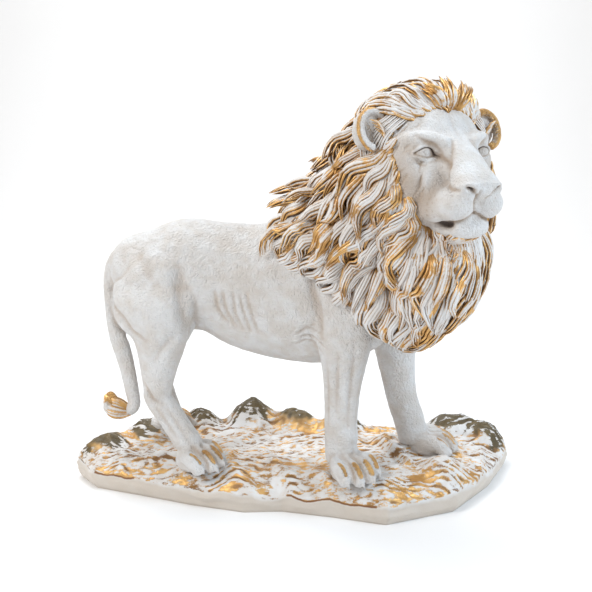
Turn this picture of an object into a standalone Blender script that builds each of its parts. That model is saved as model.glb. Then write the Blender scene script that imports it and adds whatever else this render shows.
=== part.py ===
"""A cast resin figurine: a lion standing on a slab of rock, its head turned to its right.

Metres, +Z up, +X the way the lion's body faces, origin under the middle of the flat underside.
The lion and its rock are one casting, so they are one solid.
"""

import math

import bmesh
import bpy
import numpy as np
from mathutils import Matrix, Vector, geometry, noise
from mathutils.bvhtree import BVHTree

# Driving sizes, in metres
ROCK_LENGTH = 0.306
ROCK_DEPTH = 0.142
ROCK_EDGE = 0.013  # height of the slab's broken edge
ROCK_TOP = 0.022  # height that the paws stand at
LION_HEIGHT = 0.248  # from the paws' ground to the top of the mane

# The lion's own unit: its forms are written in shares of its height, 248 of them
LION_SHARES = 248.0
U = LION_HEIGHT / LION_SHARES

# Where the lion stands on the rock, and how it is turned there
LION_AT = (-0.008, -0.0145)
LION_YAW = math.radians(-8)
HEAD_AT = (92.0, -27.0, 217.0)  # between the ears
HEAD_YAW = math.radians(-55)

# Fineness of the casting's skin
SKIN_VOXEL = 1.5 * U
SKIN_SMOOTHING = 3
LION_TRIANGLES = 7500
OVAL_SIDES = 20

# Fineness of the forms that are fused before the whole, in the lion's unit
SOFT_HEAD_VOXEL = 1.3
SOFT_HEAD_SMOOTHING = 14
MANE_VOXEL = 2.5
MANE_SMOOTHING = 6

# The mane's locks, in the lion's unit
LOCK_SPACING = 10.0
LOCK_LENGTH = 34.0
LOCK_WIDTH = 8.5
LOCK_LIFT = 4.0
LOCK_STEPS = 7
LOCK_SEED = 7

# The rock's breaks
ROCK_STEP = 0.0068
ROCK_GRAIN = 0.026
ROCK_ROUGHNESS = 0.0028
ROCK_CHIP = 0.003
ROCK_BEVEL = 0.02
ROCK_SEED = 3


def smooth_rows(rows, steps):
    """Rows of numbers, with steps rows to each span, on a Catmull-Rom curve through the given ones."""
    rows = np.asarray(rows, float)
    padded = np.vstack([2 * rows[0] - rows[1], rows, 2 * rows[-1] - rows[-2]])
    found = []
    for i in range(1, len(padded) - 2):
        a, b, c, d = padded[i - 1 : i + 3]
        for t in np.linspace(0, 1, steps, endpoint=False):
            found.append(
                0.5 * (2 * b + (c - a) * t + (2 * a - 5 * b + 4 * c - d) * t**2 + (3 * b - a - 3 * c + d) * t**3)
            )
    found.append(rows[-1])
    return np.array(found)


def unit(v):
    return v / max(np.linalg.norm(v), 1e-12)


class Clay:
    """Loose closed shapes, gathered to be fused into one skin."""

    def __init__(self):
        self.points, self.faces = [], []

    def add(self, points, faces):
        start = sum(len(p) for p in self.points)
        self.points.append(np.asarray(points, float))
        self.faces += [[start + i for i in face] for face in faces]

    def limb(self, stations, side=(0, 1, 0), steps=4, sides=OVAL_SIDES):
        """An oval tube with domed ends. A station is x, y, z, half-width along side, half-width across it."""
        rows = smooth_rows(stations, steps)
        centres, halves = rows[:, :3], np.maximum(rows[:, 3:5], 0.05)
        tangents = np.gradient(centres, axis=0)
        turns = np.linspace(0, 2 * math.pi, sides, endpoint=False)
        points = []
        for centre, (wide, deep), tangent in zip(centres, halves, tangents):
            tangent = unit(tangent)
            across = unit(np.asarray(side, float) - np.dot(side, tangent) * tangent)
            up = np.cross(tangent, across)
            points += [centre + wide * math.cos(a) * across + deep * math.sin(a) * up for a in turns]
        rings = len(centres)
        points.append(centres[0] - unit(tangents[0]) * 0.55 * halves[0].min())
        points.append(centres[-1] + unit(tangents[-1]) * 0.55 * halves[-1].min())
        first, last = len(points) - 2, len(points) - 1
        faces = []
        for r in range(rings - 1):
            for k in range(sides):
                n = (k + 1) % sides
                faces.append([r * sides + k, r * sides + n, (r + 1) * sides + n, (r + 1) * sides + k])
        for k in range(sides):
            n = (k + 1) % sides
            faces.append([first, n, k])
            faces.append([last, (rings - 1) * sides + k, (rings - 1) * sides + n])
        self.add(points, faces)

    def lump(self, centre, radii, turn=0.0, tilt=0.0):
        """An ellipsoid, turned about Z after it is tilted about its own Y."""
        ball = bmesh.new()
        bmesh.ops.create_icosphere(ball, subdivisions=3, radius=1.0)
        place = Matrix.Translation(centre) @ Matrix.Rotation(turn, 4, "Z") @ Matrix.Rotation(tilt, 4, "Y")
        place = place @ Matrix.Diagonal((*radii, 1.0))
        bmesh.ops.transform(ball, matrix=place, verts=ball.verts)
        self.add([v.co[:] for v in ball.verts], [[v.index for v in f.verts] for f in ball.faces])
        ball.free()

    def mesh(self, name):
        made = bpy.data.meshes.new(name)
        made.from_pydata(np.vstack(self.points).tolist(), [], self.faces)
        return made


def head_point(forward, left, up):
    """A place on the head: forward to the nose, left and up from the point between the ears."""
    c, s = math.cos(HEAD_YAW), math.sin(HEAD_YAW)
    x, y, z = HEAD_AT
    return np.array([x + c * forward - s * left, y + s * forward + c * left, z + up])


HEAD_LEFT = head_point(0, 1, 0) - head_point(0, 0, 0)
HEAD_FORWARD = head_point(1, 0, 0) - head_point(0, 0, 0)


def trunk(clay):
    """Barrel, loin and rump, then the haunches and shoulders. The stations run from the rump to the chest."""
    profile = [  # x, height of the middle, half-width, half-height
        (-112, 125, 12, 15),
        (-104, 126, 20, 22),
        (-90, 126, 26, 28),
        (-68, 125, 27, 36.5),
        (-45, 123, 25, 37.5),
        (-20, 117, 27.5, 43),
        (5, 114.5, 30, 46),
        (28, 115.5, 31, 47),
        (48, 119, 29, 44),
        (66, 122, 24, 34),
        (78, 120, 14, 20),
    ]
    clay.limb([(x, 0, z, wide, high) for x, z, wide, high in profile])
    for side in (-1, 1):
        clay.lump((-80, side * 19, 112), (25, 13, 34), tilt=0.25)
        clay.lump((-66, side * 18, 106), (10, 9, 20), tilt=-0.3)
        clay.lump((47, side * 24, 118), (18, 10, 30), tilt=-0.15)


def front_leg(clay, side, chest, elbow, wrist, ankle):
    """Shoulder blade, upper arm, forearm and wrist. The four places are x, y; side is -1 for the near leg."""
    clay.limb(
        [
            (chest[0] + 4, side * 17, 138, 9, 17),
            (chest[0] + 1, side * 21, 118, 12, 23),
            (chest[0] - 1, side * 23, 100, 12.5, 21),
            (elbow[0], elbow[1], 84, 12, 16.5),
            (elbow[0] * 0.5 + wrist[0] * 0.5, elbow[1] * 0.5 + wrist[1] * 0.5, 62, 10, 12.5),
            (wrist[0], wrist[1], 40, 8.8, 10.8),
            (wrist[0] * 0.4 + ankle[0] * 0.6, wrist[1] * 0.4 + ankle[1] * 0.6, 22, 9.2, 10.8),
            (ankle[0], ankle[1], 9, 10, 11),
        ]
    )


def hind_leg(clay, side, hip, knee, hock, ankle):
    """Thigh, shin, hock and long foot. Each place is x, y, z."""

    def between(a, b, share):
        return [u * (1 - share) + v * share for u, v in zip(a, b)]

    thigh = between(hip, knee, 0.5)
    clay.limb(
        [
            (*hip, 13, 26),
            (thigh[0], side * 22, thigh[2], 15, 28),
            (*knee, 12.5, 19),
            (*between(knee, hock, 0.45), 9.6, 13),
            (*between(knee, hock, 0.85), 7.8, 9.8),
            (*hock, 7.4, 9),
            (*between(hock, ankle, 0.45), 7.6, 9),
            (*between(hock, ankle, 0.8), 8.6, 9),
            (*ankle, 9.5, 8.6),
        ]
    )
    clay.lump((hock[0] - 4, hock[1], hock[2] + 4), (5, 5, 7))


def paw(clay, at, heading, size=1.0):
    """Four toes with knuckles and claws, round a broad pad."""
    ahead = np.array([math.cos(heading), math.sin(heading), 0])
    left = np.array([-math.sin(heading), math.cos(heading), 0])
    at = np.array([*at, 0.0])

    def place(forward, sideways, up):
        return at + size * (ahead * forward + left * sideways) + np.array([0, 0, up * size])

    clay.lump(place(5, 0, 5), (13 * size, 12.5 * size, 8.5 * size), heading)
    for sideways, reach in ((-12, 15), (-4.2, 20), (4.2, 20), (12, 15)):
        clay.limb(
            [
                (*place(0, sideways * 0.6, 9), 4 * size, 5 * size),
                (*place(reach - 7, sideways * 0.95, 10.5), 4.3 * size, 5 * size),
                (*place(reach - 1, sideways, 7.5), 4.4 * size, 4.8 * size),
                (*place(reach + 3, sideways * 1.02, 2.5), 3.6 * size, 3.8 * size),
            ],
            side=left,
        )
        clay.limb(
            [
                (*place(reach + 1.5, sideways, 7.5), 1.8 * size, 1.9 * size),
                (*place(reach + 5.5, sideways, 5), 1.3 * size, 1.6 * size),
                (*place(reach + 7.5, sideways, 1), 0.5 * size, 0.7 * size),
            ],
            side=left,
            sides=8,
        )


def tail(clay):
    """From the rump down to the hock, with its tuft curled back behind it."""
    clay.limb(
        [
            (-103, -2, 140, 8, 7),
            (-113, -2, 131, 6.5, 6),
            (-116, -2, 110, 5.5, 6),
            (-113, -4, 85, 5, 6.2),
            (-107, -6, 62, 4.6, 5.6),
            (-103, -9, 46, 4.2, 5),
            (-101, -11, 36, 4, 4.6),
            (-106, -11, 31, 4, 4),
            (-113, -11, 32, 4, 4),
        ]
    )
    for lift, swing in ((0, 0), (4, 2.5), (-3, -2), (2, -3)):
        clay.limb(
            [
                (-108, -11, 32, 3, 3),
                (-115, -11 + swing, 35 + lift * 0.5, 5, 4.4),
                (-119.5, -11 + swing, 41 + lift, 3.6, 3.6),
                (-119, -11 + swing * 1.5, 48 + lift, 1.2, 1.2),
            ],
            sides=12,
        )


def head(clay):
    """Skull, cheeks, muzzle and jaw, eased into each other, then the eyes, lids, nose and ears."""
    soft = Clay()

    def along(*stations):
        soft.limb([(*head_point(f, 0, u), wide, high) for f, u, wide, high in stations], side=HEAD_LEFT)

    def lump(f, l, u, *radii):
        soft.lump(head_point(f, l, u), radii, HEAD_YAW)

    def across(*stations):
        clay.limb([(*head_point(f, l, u), wide, wide) for f, l, u, wide in stations], side=HEAD_FORWARD, sides=12)

    lump(-4, 0, -10, 26, 33, 29)
    lump(4, 0, -14, 18.5, 35, 24)
    along((12, -4, 13, 9), (24, -13, 13, 9), (33.5, -22, 13, 9), (41.5, -28.5, 15, 8), (46.5, -31, 14.5, 5.5))
    along((6, -33, 27, 20), (18, -36, 22, 16), (31, -38, 15, 9))
    along((4, -49, 23, 13), (15, -51, 14, 9), (27, -52.5, 12, 7), (39.5, -51.5, 12.5, 6.4))
    lump(12, 0, -56, 15, 12, 8)
    lump(35, 0, -41.5, 6, 6, 6)
    for side in (-1, 1):
        soft.limb(
            [
                (*head_point(25, side * 8, -6), 4, 3.5),
                (*head_point(20.5, side * 15, -4), 4.5, 4.2),
                (*head_point(15.5, side * 23, -3.5), 4.5, 4.2),
                (*head_point(8, side * 29, -5), 4, 4),
            ],
            side=HEAD_FORWARD,
        )
        lump(14, side * 18, -10, 7, 9, 7)
        lump(18, side * 12, -10, 6.5, 5, 7)
        lump(8, side * 25, -17, 11, 9, 10)
        lump(5, side * 20, -28, 17, 15.5, 21)
        lump(12, side * 18, -24, 10, 11, 12)
        lump(2, side * 17, -44, 17, 15, 17)
        lump(15, side * 13, -26, 12, 10, 16)
        lump(23, side * 12, -40, 14, 11, 11)
        lump(33.5, side * 10, -38.5, 12.5, 12, 10)
        lump(-4, side * 30, -3, 9, 8, 13)
    form = fused(soft, "head", SOFT_HEAD_VOXEL, SOFT_HEAD_SMOOTHING)
    clay.add([v.co[:] for v in form.vertices], [list(p.vertices) for p in form.polygons])
    for side in (-1, 1):
        clay.lump(head_point(17.3, side * 19.8, -11), (5, 5, 4.6), HEAD_YAW)
        upper = [(18, 26.5, -11.2, 1.2), (20.4, 23, -9.2, 1.9), (20.9, 18, -8.4, 2.0), (21, 13, -10.2, 1.6)]
        lower = [(18, 26.5, -12, 1.0), (20.1, 23, -13.4, 1.4), (20.5, 18, -13.9, 1.5), (21.6, 13, -12.8, 1.4)]
        nostril = [(47, 5, -29, 2.6), (45.5, 10.5, -28.6, 2.6), (41, 13.5, -29.5, 2.6)]
        for line in (upper, lower, nostril):
            across(*[(f, side * l, u, wide) for f, l, u, wide in line])
        ear(clay, side)


def ear(clay, side):
    """A round cup, open to the front, with a thick rim."""
    rim = []
    for turn in np.linspace(-0.42 * math.pi, 1.08 * math.pi, 12):
        place = head_point(-1 - 3 * math.sin(turn), side * (39.5 + 8.8 * math.cos(turn)), 1 + 10.3 * math.sin(turn))
        rim.append((*place, 2.5, 2.4))
    clay.limb(rim, side=HEAD_FORWARD, steps=3, sides=12)
    clay.lump(head_point(-7.5, side * 39.5, 0.5), (5.5, 10.2, 11.6), HEAD_YAW)


def mane_mass(clay):
    """What the locks lie on: a collar behind the face, a cape over the withers and a bib down the chest."""
    clay.limb(
        [
            (6, -2, 138, 28, 23),
            (26, -4, 147, 36, 35),
            (52, -9, 162, 40, 39),
            (76, -15, 182, 41, 40),
            (88, -19, 196, 38, 39),
        ]
    )
    clay.limb([(28, -8, 150, 34, 26), (56, -14, 130, 30, 25), (80, -20, 110, 23, 20), (90, -24, 98, 12, 10)])
    clay.lump(head_point(-9, 0, -1), (20, 41, 26), HEAD_YAW)
    clay.lump(head_point(-20, 0, -20), (22, 47.5, 38), HEAD_YAW)
    clay.lump(head_point(-10, 0, -42), (24, 41, 36), HEAD_YAW)
    clay.limb(
        [
            (*head_point(-4, 0, -58), 34, 23),
            (*head_point(3, 1, -75), 30, 24),
            (*head_point(3, 1, -89), 24, 21),
            (*head_point(1, -4, -103), 16, 15),
            (*head_point(-1, -6, -114), 7, 7),
        ],
        side=HEAD_LEFT,
    )


def fused(clay, name, voxel, smoothing):
    """The clay as one closed skin, rounded where its pieces meet."""
    rough = bpy.data.objects.new(name, clay.mesh(name))
    bpy.context.scene.collection.objects.link(rough)
    remesh = rough.modifiers.new("Fuse", "REMESH")
    remesh.mode = "VOXEL"
    remesh.voxel_size = voxel
    ease = rough.modifiers.new("Ease", "SMOOTH")
    ease.factor = 0.5
    ease.iterations = smoothing
    graph = bpy.context.evaluated_depsgraph_get()
    made = bpy.data.meshes.new_from_object(rough.evaluated_get(graph))
    bpy.data.objects.remove(rough)
    keep_largest_shell(made)
    return made


def keep_largest_shell(mesh):
    """Drops the pockets that closed up inside the clay."""
    shells = bmesh.new()
    shells.from_mesh(mesh)
    shells.verts.ensure_lookup_table()
    left = set(shells.verts)
    found = []
    while left:
        shell, edge = set(), [left.pop()]
        while edge:
            vert = edge.pop()
            shell.add(vert)
            for link in vert.link_edges:
                other = link.other_vert(vert)
                if other in left:
                    left.remove(other)
                    edge.append(other)
        found.append(shell)
    largest = max(found, key=len)
    bmesh.ops.delete(shells, geom=[v for v in shells.verts if v not in largest], context="VERTS")
    shells.to_mesh(mesh)
    shells.free()


def hair_way(p):
    """Which way the mane grows at a place: away from the face, then down and back over the neck."""
    rel = p - head_point(8, 0, -24)
    ahead = np.dot(rel, HEAD_FORWARD)
    radial = unit(rel - ahead * HEAD_FORWARD)
    low = np.clip((HEAD_AT[2] + 12 - p[2]) / 55, 0, 1)
    behind = np.clip((75 - p[0]) / 70, 0, 1)
    return unit(radial * (1 - 0.85 * low) + np.array([-0.25 - 1.0 * behind, 0, -0.25 - 0.95 * low]))


def mane_locks(clay, skin):
    """Tapered locks that follow the growth of the mane over its surface."""
    tree = BVHTree.FromPolygons([v.co for v in skin.vertices], [p.vertices for p in skin.polygons])
    rng = np.random.default_rng(LOCK_SEED)
    places = np.array([v.co[:] for v in skin.vertices])
    roots = np.empty((0, 3))
    for i in rng.permutation(len(places)):
        if on_mane(places[i]) and not np.any(np.linalg.norm(roots - places[i], axis=1) < LOCK_SPACING):
            roots = np.vstack([roots, places[i]])
    shares = np.linspace(0, 1, LOCK_STEPS + 1)
    for root in roots:
        length = LOCK_LENGTH * (0.85 + 0.4 * rng.random())
        wave = rng.normal() * 0.5
        lift = LOCK_LIFT * (0.6 + 0.8 * rng.random()) * (1.5 if root[2] > HEAD_AT[2] + 12 else 1)
        spot, path = root, []
        for share in shares:
            near, normal, _, _ = tree.find_nearest(Vector(spot))
            near, normal = np.array(near), np.array(normal)
            path.append(near + normal * (1.0 + lift * share**1.4))
            way = hair_way(near)
            way = unit(way - np.dot(way, normal) * normal)
            way = unit(way + np.cross(normal, way) * wave * math.cos(share * 2.2 * math.pi))
            spot = near + way * length / LOCK_STEPS
        wide = LOCK_WIDTH / 2 * np.clip(np.sin(math.pi * (0.22 + 0.78 * shares)), 0.06, 1) ** 0.8
        across = np.cross(normal, unit(path[-1] - path[0]))
        clay.limb([(*p, w, w * 0.62) for p, w in zip(path, wide)], side=across, steps=1, sides=8)


def on_mane(p):
    """True where hair grows: round and behind the face, over the neck and withers, and down the chest."""
    rel = p - head_point(0, 0, 0)
    ahead, left, up = np.dot(rel, HEAD_FORWARD), np.dot(rel, HEAD_LEFT), rel[2]
    face_half = 33 - 0.38 * max(0, -25 - up)
    on_face = ahead > 2 and abs(left) < face_half and -64 < up < 11 - 0.009 * left**2
    return not on_face and p[0] > -2


ROCK_OUTLINE = [  # corners of the broken slab, in shares of its half-length and half-depth
    (1.0, 0.32),
    (0.97, 0.62),
    (0.72, 0.8),
    (0.36, 0.76),
    (0.1, 0.86),
    (-0.22, 1.0),
    (-0.5, 0.9),
    (-0.76, 0.68),
    (-0.94, 0.36),
    (-1.0, 0.02),
    (-0.9, -0.24),
    (-0.7, -0.4),
    (-0.44, -0.62),
    (-0.22, -0.76),
    (-0.06, -0.74),
    (0.16, -0.86),
    (0.37, -1.0),
    (0.67, -0.74),
    (0.87, -0.22),
]
ROCK_PEAKS = [  # x, y in the same shares, radius in shares of the half-depth, rise in metres
    (-0.22, 0.84, 0.34, 0.017),
    (-0.48, 0.76, 0.3, 0.011),
    (0.0, 0.74, 0.3, 0.011),
    (0.22, 0.66, 0.3, 0.009),
    (0.75, 0.6, 0.3, 0.011),
    (0.9, 0.42, 0.3, 0.009),
    (-0.9, 0.14, 0.3, 0.008),
    (-0.7, 0.5, 0.36, 0.009),
    (0.62, -0.52, 0.26, 0.007),
    (0.5, -0.1, 0.2, 0.005),
    (0.42, 0.16, 0.2, 0.005),
]


def outline_points():
    """The slab's outline from above, in metres, with a point every grain of the rock or so."""
    corners = np.array(ROCK_OUTLINE) * (ROCK_LENGTH / 2, ROCK_DEPTH / 2)
    points = []
    for a, b in zip(corners, np.roll(corners, -1, axis=0)):
        cuts = max(1, round(np.linalg.norm(b - a) / ROCK_STEP))
        outward = unit(np.array([b[1] - a[1], a[0] - b[0]]))
        for k in range(cuts):
            spot = a + (b - a) * k / cuts
            chip = noise.noise(Vector((*(spot / ROCK_GRAIN * 2.2), 4.7)))
            points.append(spot + outward * ROCK_CHIP * chip)
    return points


def rock_height(x, y, edge):
    """Height of the rock's top. edge is the distance to the slab's outline."""
    high = ROCK_TOP - (ROCK_TOP - ROCK_EDGE) * max(0.0, 1 - edge / ROCK_BEVEL) ** 2
    for px, py, radius, rise in ROCK_PEAKS:
        away = math.hypot(x - px * ROCK_LENGTH / 2, y - py * ROCK_DEPTH / 2) / (radius * ROCK_DEPTH / 2)
        high += rise * max(0.0, 1 - away * away) ** 1.5
    spot = Vector((x / ROCK_GRAIN, y / ROCK_GRAIN, 0.3))
    return high + ROCK_ROUGHNESS * (noise.ridged_multi_fractal(spot, 1.0, 2.1, 4, 1.0, 2.0) - 1.0)


def edge_distances(spots, rim):
    """How far each spot is from the outline."""
    starts, ends = rim[None], np.roll(rim, -1, axis=0)[None]
    along = ends - starts
    share = ((spots[:, None] - starts) * along).sum(axis=2) / (along**2).sum(axis=2)
    near = starts + along * np.clip(share, 0, 1)[..., None]
    return np.linalg.norm(near - spots[:, None], axis=2).min(axis=1)


def within(spots, rim):
    """True for each spot inside the outline: a ray from it crosses the outline an odd number of times."""
    (ax, ay), (bx, by) = rim.T, np.roll(rim, -1, axis=0).T
    x, y = spots[:, :1], spots[:, 1:]
    spans = (ay > y) != (by > y)
    slope = (bx - ax) / np.where(by == ay, 1, by - ay)
    return (spans & (x < slope * (y - ay) + ax)).sum(axis=1) % 2 == 1


def rock():
    """A broken slab: a rough top of small facets, a chipped edge and a flat underside."""
    rim = np.array(outline_points())
    count = len(rim)
    rng = np.random.default_rng(ROCK_SEED)
    rows = np.arange(-ROCK_DEPTH, ROCK_DEPTH, ROCK_STEP * 0.87)
    columns = np.arange(-ROCK_LENGTH, ROCK_LENGTH, ROCK_STEP)
    spots = np.array([(x + ROCK_STEP * 0.5 * (k % 2), y) for k, y in enumerate(rows) for x in columns])
    spots += rng.uniform(-0.25, 0.25, spots.shape) * ROCK_STEP
    spots = spots[within(spots, rim) & (edge_distances(spots, rim) > 0.6 * ROCK_STEP)]
    loop = [(k, (k + 1) % count) for k in range(count)]
    flat = [Vector(spot) for spot in [*rim, *spots]]
    places, _, faces, *_ = geometry.delaunay_2d_cdt(flat, loop, [], 1, 1e-7)
    edges = edge_distances(np.array(places), rim)
    top = [(x, y, rock_height(x, y, edge)) for (x, y), edge in zip(places, edges)]
    waist = [(x * 1.004, y * 1.008, z * 0.45) for x, y, z in top[:count]]
    foot = [(x * 0.985, y * 0.97, 0.0) for x, y, z in top[:count]]
    start = len(top)
    sides = []
    for k, n in loop:
        sides.append((n, k, start + k, start + n))
        sides.append((start + n, start + k, start + count + k, start + count + n))
    base = [start + count + k for k in range(count)][::-1]
    made = bpy.data.meshes.new("slab")
    made.from_pydata([*top, *waist, *foot], [], [*faces, *sides, base])
    return made


def thinned(mesh, triangles):
    """The same skin with about this many triangles, most of them where it bends."""
    rough = bpy.data.objects.new("rough", mesh)
    bpy.context.scene.collection.objects.link(rough)
    thin = rough.modifiers.new("Thin", "DECIMATE")
    thin.ratio = triangles / sum(len(p.vertices) - 2 for p in mesh.polygons)
    graph = bpy.context.evaluated_depsgraph_get()
    made = bpy.data.meshes.new_from_object(rough.evaluated_get(graph))
    bpy.data.objects.remove(rough)
    return made


def cast_together(lion, slab):
    """The lion and its rock as one skin."""
    whole = bpy.data.objects.new("whole", lion)
    base = bpy.data.objects.new("base", slab)
    bpy.context.scene.collection.objects.link(whole)
    bpy.context.scene.collection.objects.link(base)
    join = whole.modifiers.new("Join", "BOOLEAN")
    join.operation = "UNION"
    join.solver = "EXACT"
    join.object = base
    graph = bpy.context.evaluated_depsgraph_get()
    made = bpy.data.meshes.new_from_object(whole.evaluated_get(graph))
    for helper in (whole, base):
        bpy.data.objects.remove(helper)
    keep_largest_shell(made)
    made.materials.clear()
    return made


def white_and_gold_paint():
    """Matt white paint. The gold leaf on it is colour only."""
    paint = bpy.data.materials.new("white_paint")
    paint.use_nodes = True
    shader = paint.node_tree.nodes["Principled BSDF"]
    shader.inputs["Base Color"].default_value = (0.72, 0.7, 0.67, 1)
    shader.inputs["Roughness"].default_value = 0.6
    shader.inputs["Metallic"].default_value = 0.0
    return paint


def main():
    for old in list(bpy.data.objects):
        bpy.data.objects.remove(old)
    clay = Clay()
    trunk(clay)
    front_leg(clay, -1, (42, -22), (42, -24), (40, -21), (41, -20))
    front_leg(clay, 1, (54, 22), (70, 24), (78, 23), (88, 23))
    hind_leg(clay, -1, (-84, -15, 124), (-77, -24, 88), (-80, -24, 47), (-58, -23, 12))
    hind_leg(clay, 1, (-88, 15, 124), (-84, 23, 88), (-96, 24, 47), (-88, 30, 12))
    paw(clay, (43, -23), math.radians(-50))
    paw(clay, (91, 23), math.radians(2))
    paw(clay, (-61, -22), math.radians(-22))
    paw(clay, (-98, 34), math.radians(28))
    tail(clay)
    head(clay)
    mass = Clay()
    mane_mass(mass)
    mane_skin = fused(mass, "mane", MANE_VOXEL, MANE_SMOOTHING)
    clay.add([v.co[:] for v in mane_skin.vertices], [list(p.vertices) for p in mane_skin.polygons])
    mane_locks(clay, mane_skin)
    lion = fused(clay, "lion", SKIN_VOXEL / U, SKIN_SMOOTHING)
    lion = thinned(lion, LION_TRIANGLES)
    lion.transform(
        Matrix.Translation((*LION_AT, ROCK_TOP)) @ Matrix.Rotation(LION_YAW, 4, "Z") @ Matrix.Scale(U, 4)
    )
    figure = bpy.data.objects.new("lion_figurine", cast_together(lion, rock()))
    figure.data.materials.append(white_and_gold_paint())
    bpy.context.scene.collection.objects.link(figure)


main()
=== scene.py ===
"""The lion figurine as it looks: white paint over gold leaf on a lion that stands on a slab of rock.

Metres, +Z up, +X the way the lion's body faces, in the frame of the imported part.
"""

import math

import bmesh
import bpy
import numpy as np
from mathutils import Matrix, Vector, noise
from mathutils.bvhtree import BVHTree
from mathutils.kdtree import KDTree


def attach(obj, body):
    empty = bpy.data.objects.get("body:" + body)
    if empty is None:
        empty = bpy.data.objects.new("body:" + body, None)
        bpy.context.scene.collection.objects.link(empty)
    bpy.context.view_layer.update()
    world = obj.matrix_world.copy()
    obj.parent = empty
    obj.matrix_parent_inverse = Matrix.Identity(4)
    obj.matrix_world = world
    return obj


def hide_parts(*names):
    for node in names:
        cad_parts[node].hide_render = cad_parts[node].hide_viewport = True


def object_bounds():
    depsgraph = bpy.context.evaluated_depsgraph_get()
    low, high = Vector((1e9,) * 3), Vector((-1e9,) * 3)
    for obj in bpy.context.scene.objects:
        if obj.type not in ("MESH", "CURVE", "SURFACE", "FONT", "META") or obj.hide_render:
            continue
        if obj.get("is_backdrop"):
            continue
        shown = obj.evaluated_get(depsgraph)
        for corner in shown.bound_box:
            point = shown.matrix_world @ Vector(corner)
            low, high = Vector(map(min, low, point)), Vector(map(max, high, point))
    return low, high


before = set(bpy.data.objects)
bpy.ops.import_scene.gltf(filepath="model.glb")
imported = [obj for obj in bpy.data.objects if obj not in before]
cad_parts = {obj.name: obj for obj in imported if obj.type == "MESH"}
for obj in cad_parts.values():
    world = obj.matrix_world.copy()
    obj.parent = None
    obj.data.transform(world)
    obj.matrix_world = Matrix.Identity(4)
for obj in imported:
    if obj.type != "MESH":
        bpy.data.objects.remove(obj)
bounds_at_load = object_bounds()

# Driving sizes, in metres
ROCK_LENGTH = 0.306
ROCK_DEPTH = 0.142
ROCK_EDGE = 0.013  # height of the slab's broken edge
ROCK_TOP = 0.022  # height that the paws stand at
LION_HEIGHT = 0.248  # from the paws' ground to the top of the mane

# The lion's own unit: its forms are written in shares of its height, 248 of them
LION_SHARES = 248.0
U = LION_HEIGHT / LION_SHARES

# Where the lion stands on the rock, and how it is turned there
LION_AT = (-0.008, -0.0145)
LION_YAW = math.radians(-8)
HEAD_AT = (92.0, -27.0, 217.0)  # between the ears
HEAD_YAW = math.radians(-55)

# Fineness of the skins, in the lion's unit, and how many rounds ease each of them
BODY_VOXEL, BODY_SMOOTHING = 1.2, 2
HEAD_VOXEL, HEAD_SMOOTHING = 0.6, 3
SOFT_HEAD_VOXEL, SOFT_HEAD_SMOOTHING = 1.3, 14
MANE_VOXEL, MANE_SMOOTHING, GROUND_SMOOTHING = 2.0, 6, 4
OVAL_SIDES = 20
CHEEK_HAIRS = 170

# The paws: where each stands and where it points, in degrees, with the gaps and the gold on its toes
PAWS = [((43, -23), -50), ((91, 23), 2), ((-61, -22), -22), ((-98, 34), 28)]
TOE_GAP = [(8, 0.7, 16), (15, 0.9, 14), (21, 1.0, 9), (22, 1.02, 3)]
TOE_LEAF = [(-4, 12), (-1, 11), (2, 8)]
SHADOW_FROM = 0.94  # a stroke with more painted shade than this also paints its groove with dark painted shadow

# The mane's locks, in the lion's unit
LOCK_SPACING = 9.0
LOCK_LENGTH = 42.0
LOCK_WIDTH = 8.5
LOCK_LIFT = 4.0
LOCK_STEPS = 10
LOCK_STRANDS = 7
FEW_STRANDS = 5  # in a lock of the crown or of the far side
FAR_SIDE = 14.0
EAR_CLEAR = 10.5
FRINGE_STRANDS = 9
FRINGE_GAP = 1.15
CROWN_TUFT_LOCKS = 26
TUFT_STRANDS = 26
TUFT_SIDES = 6
TUBE_SIDES = 5
LOCK_SEED = 7
HAIR_SEED = 11

# The rock's breaks
ROCK_GRAIN = 0.026
ROCK_ROUGHNESS = 0.0028
ROCK_BEVEL = 0.02

# The rock's fine grid and its finer breaks
ROCK_COLUMNS = 330
ROCK_ROWS = 165
ROCK_BANDS = 10
ROCK_BED = 0.0013
ROCK_FOLD = 0.0046
ROCK_FOLDING = 0.0013
ROCK_FINE = 0.0005
ROCK_SIDE_CHIP = 0.0015
ROCK_DARK_END = -0.12  # the side is dark beyond this x
FAR_PEAKS = 8  # how many of the peaks stand on the far rim and the left end
ROCK_VALUES = ("crest", "side", "dark", "leaf", "rust")  # what the paint reads at each point

# The soft lights: name, place, aim, size in metres, power in watts, colour
LAMPS = [
    ("key", (0.66, -0.3, 0.58), (0.03, 0, 0.14), 0.35, 3.8, (0.72, 0.86, 1.0)),
    ("top", (-0.25, 0.15, 0.9), (-0.05, 0, 0.1), 0.4, 2.6, (0.86, 0.93, 1.0)),
    ("left", (-0.65, -0.5, 0.75), (-0.08, 0, 0.13), 0.4, 4.8, (1.0, 0.98, 0.96)),
    ("back", (0.0, 0.5, 1.4), (0.0, 1.3, 0.5), 1.0, 10.0, (1.0, 1.0, 1.0)),
]

# The photograph's camera
CAMERA_PIXELS = 592
CAMERA_FOCAL_PIXELS = 800
CAMERA_AT = (0.0, -0.527, 0.240)
CAMERA_DOWN = 11.72

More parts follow.
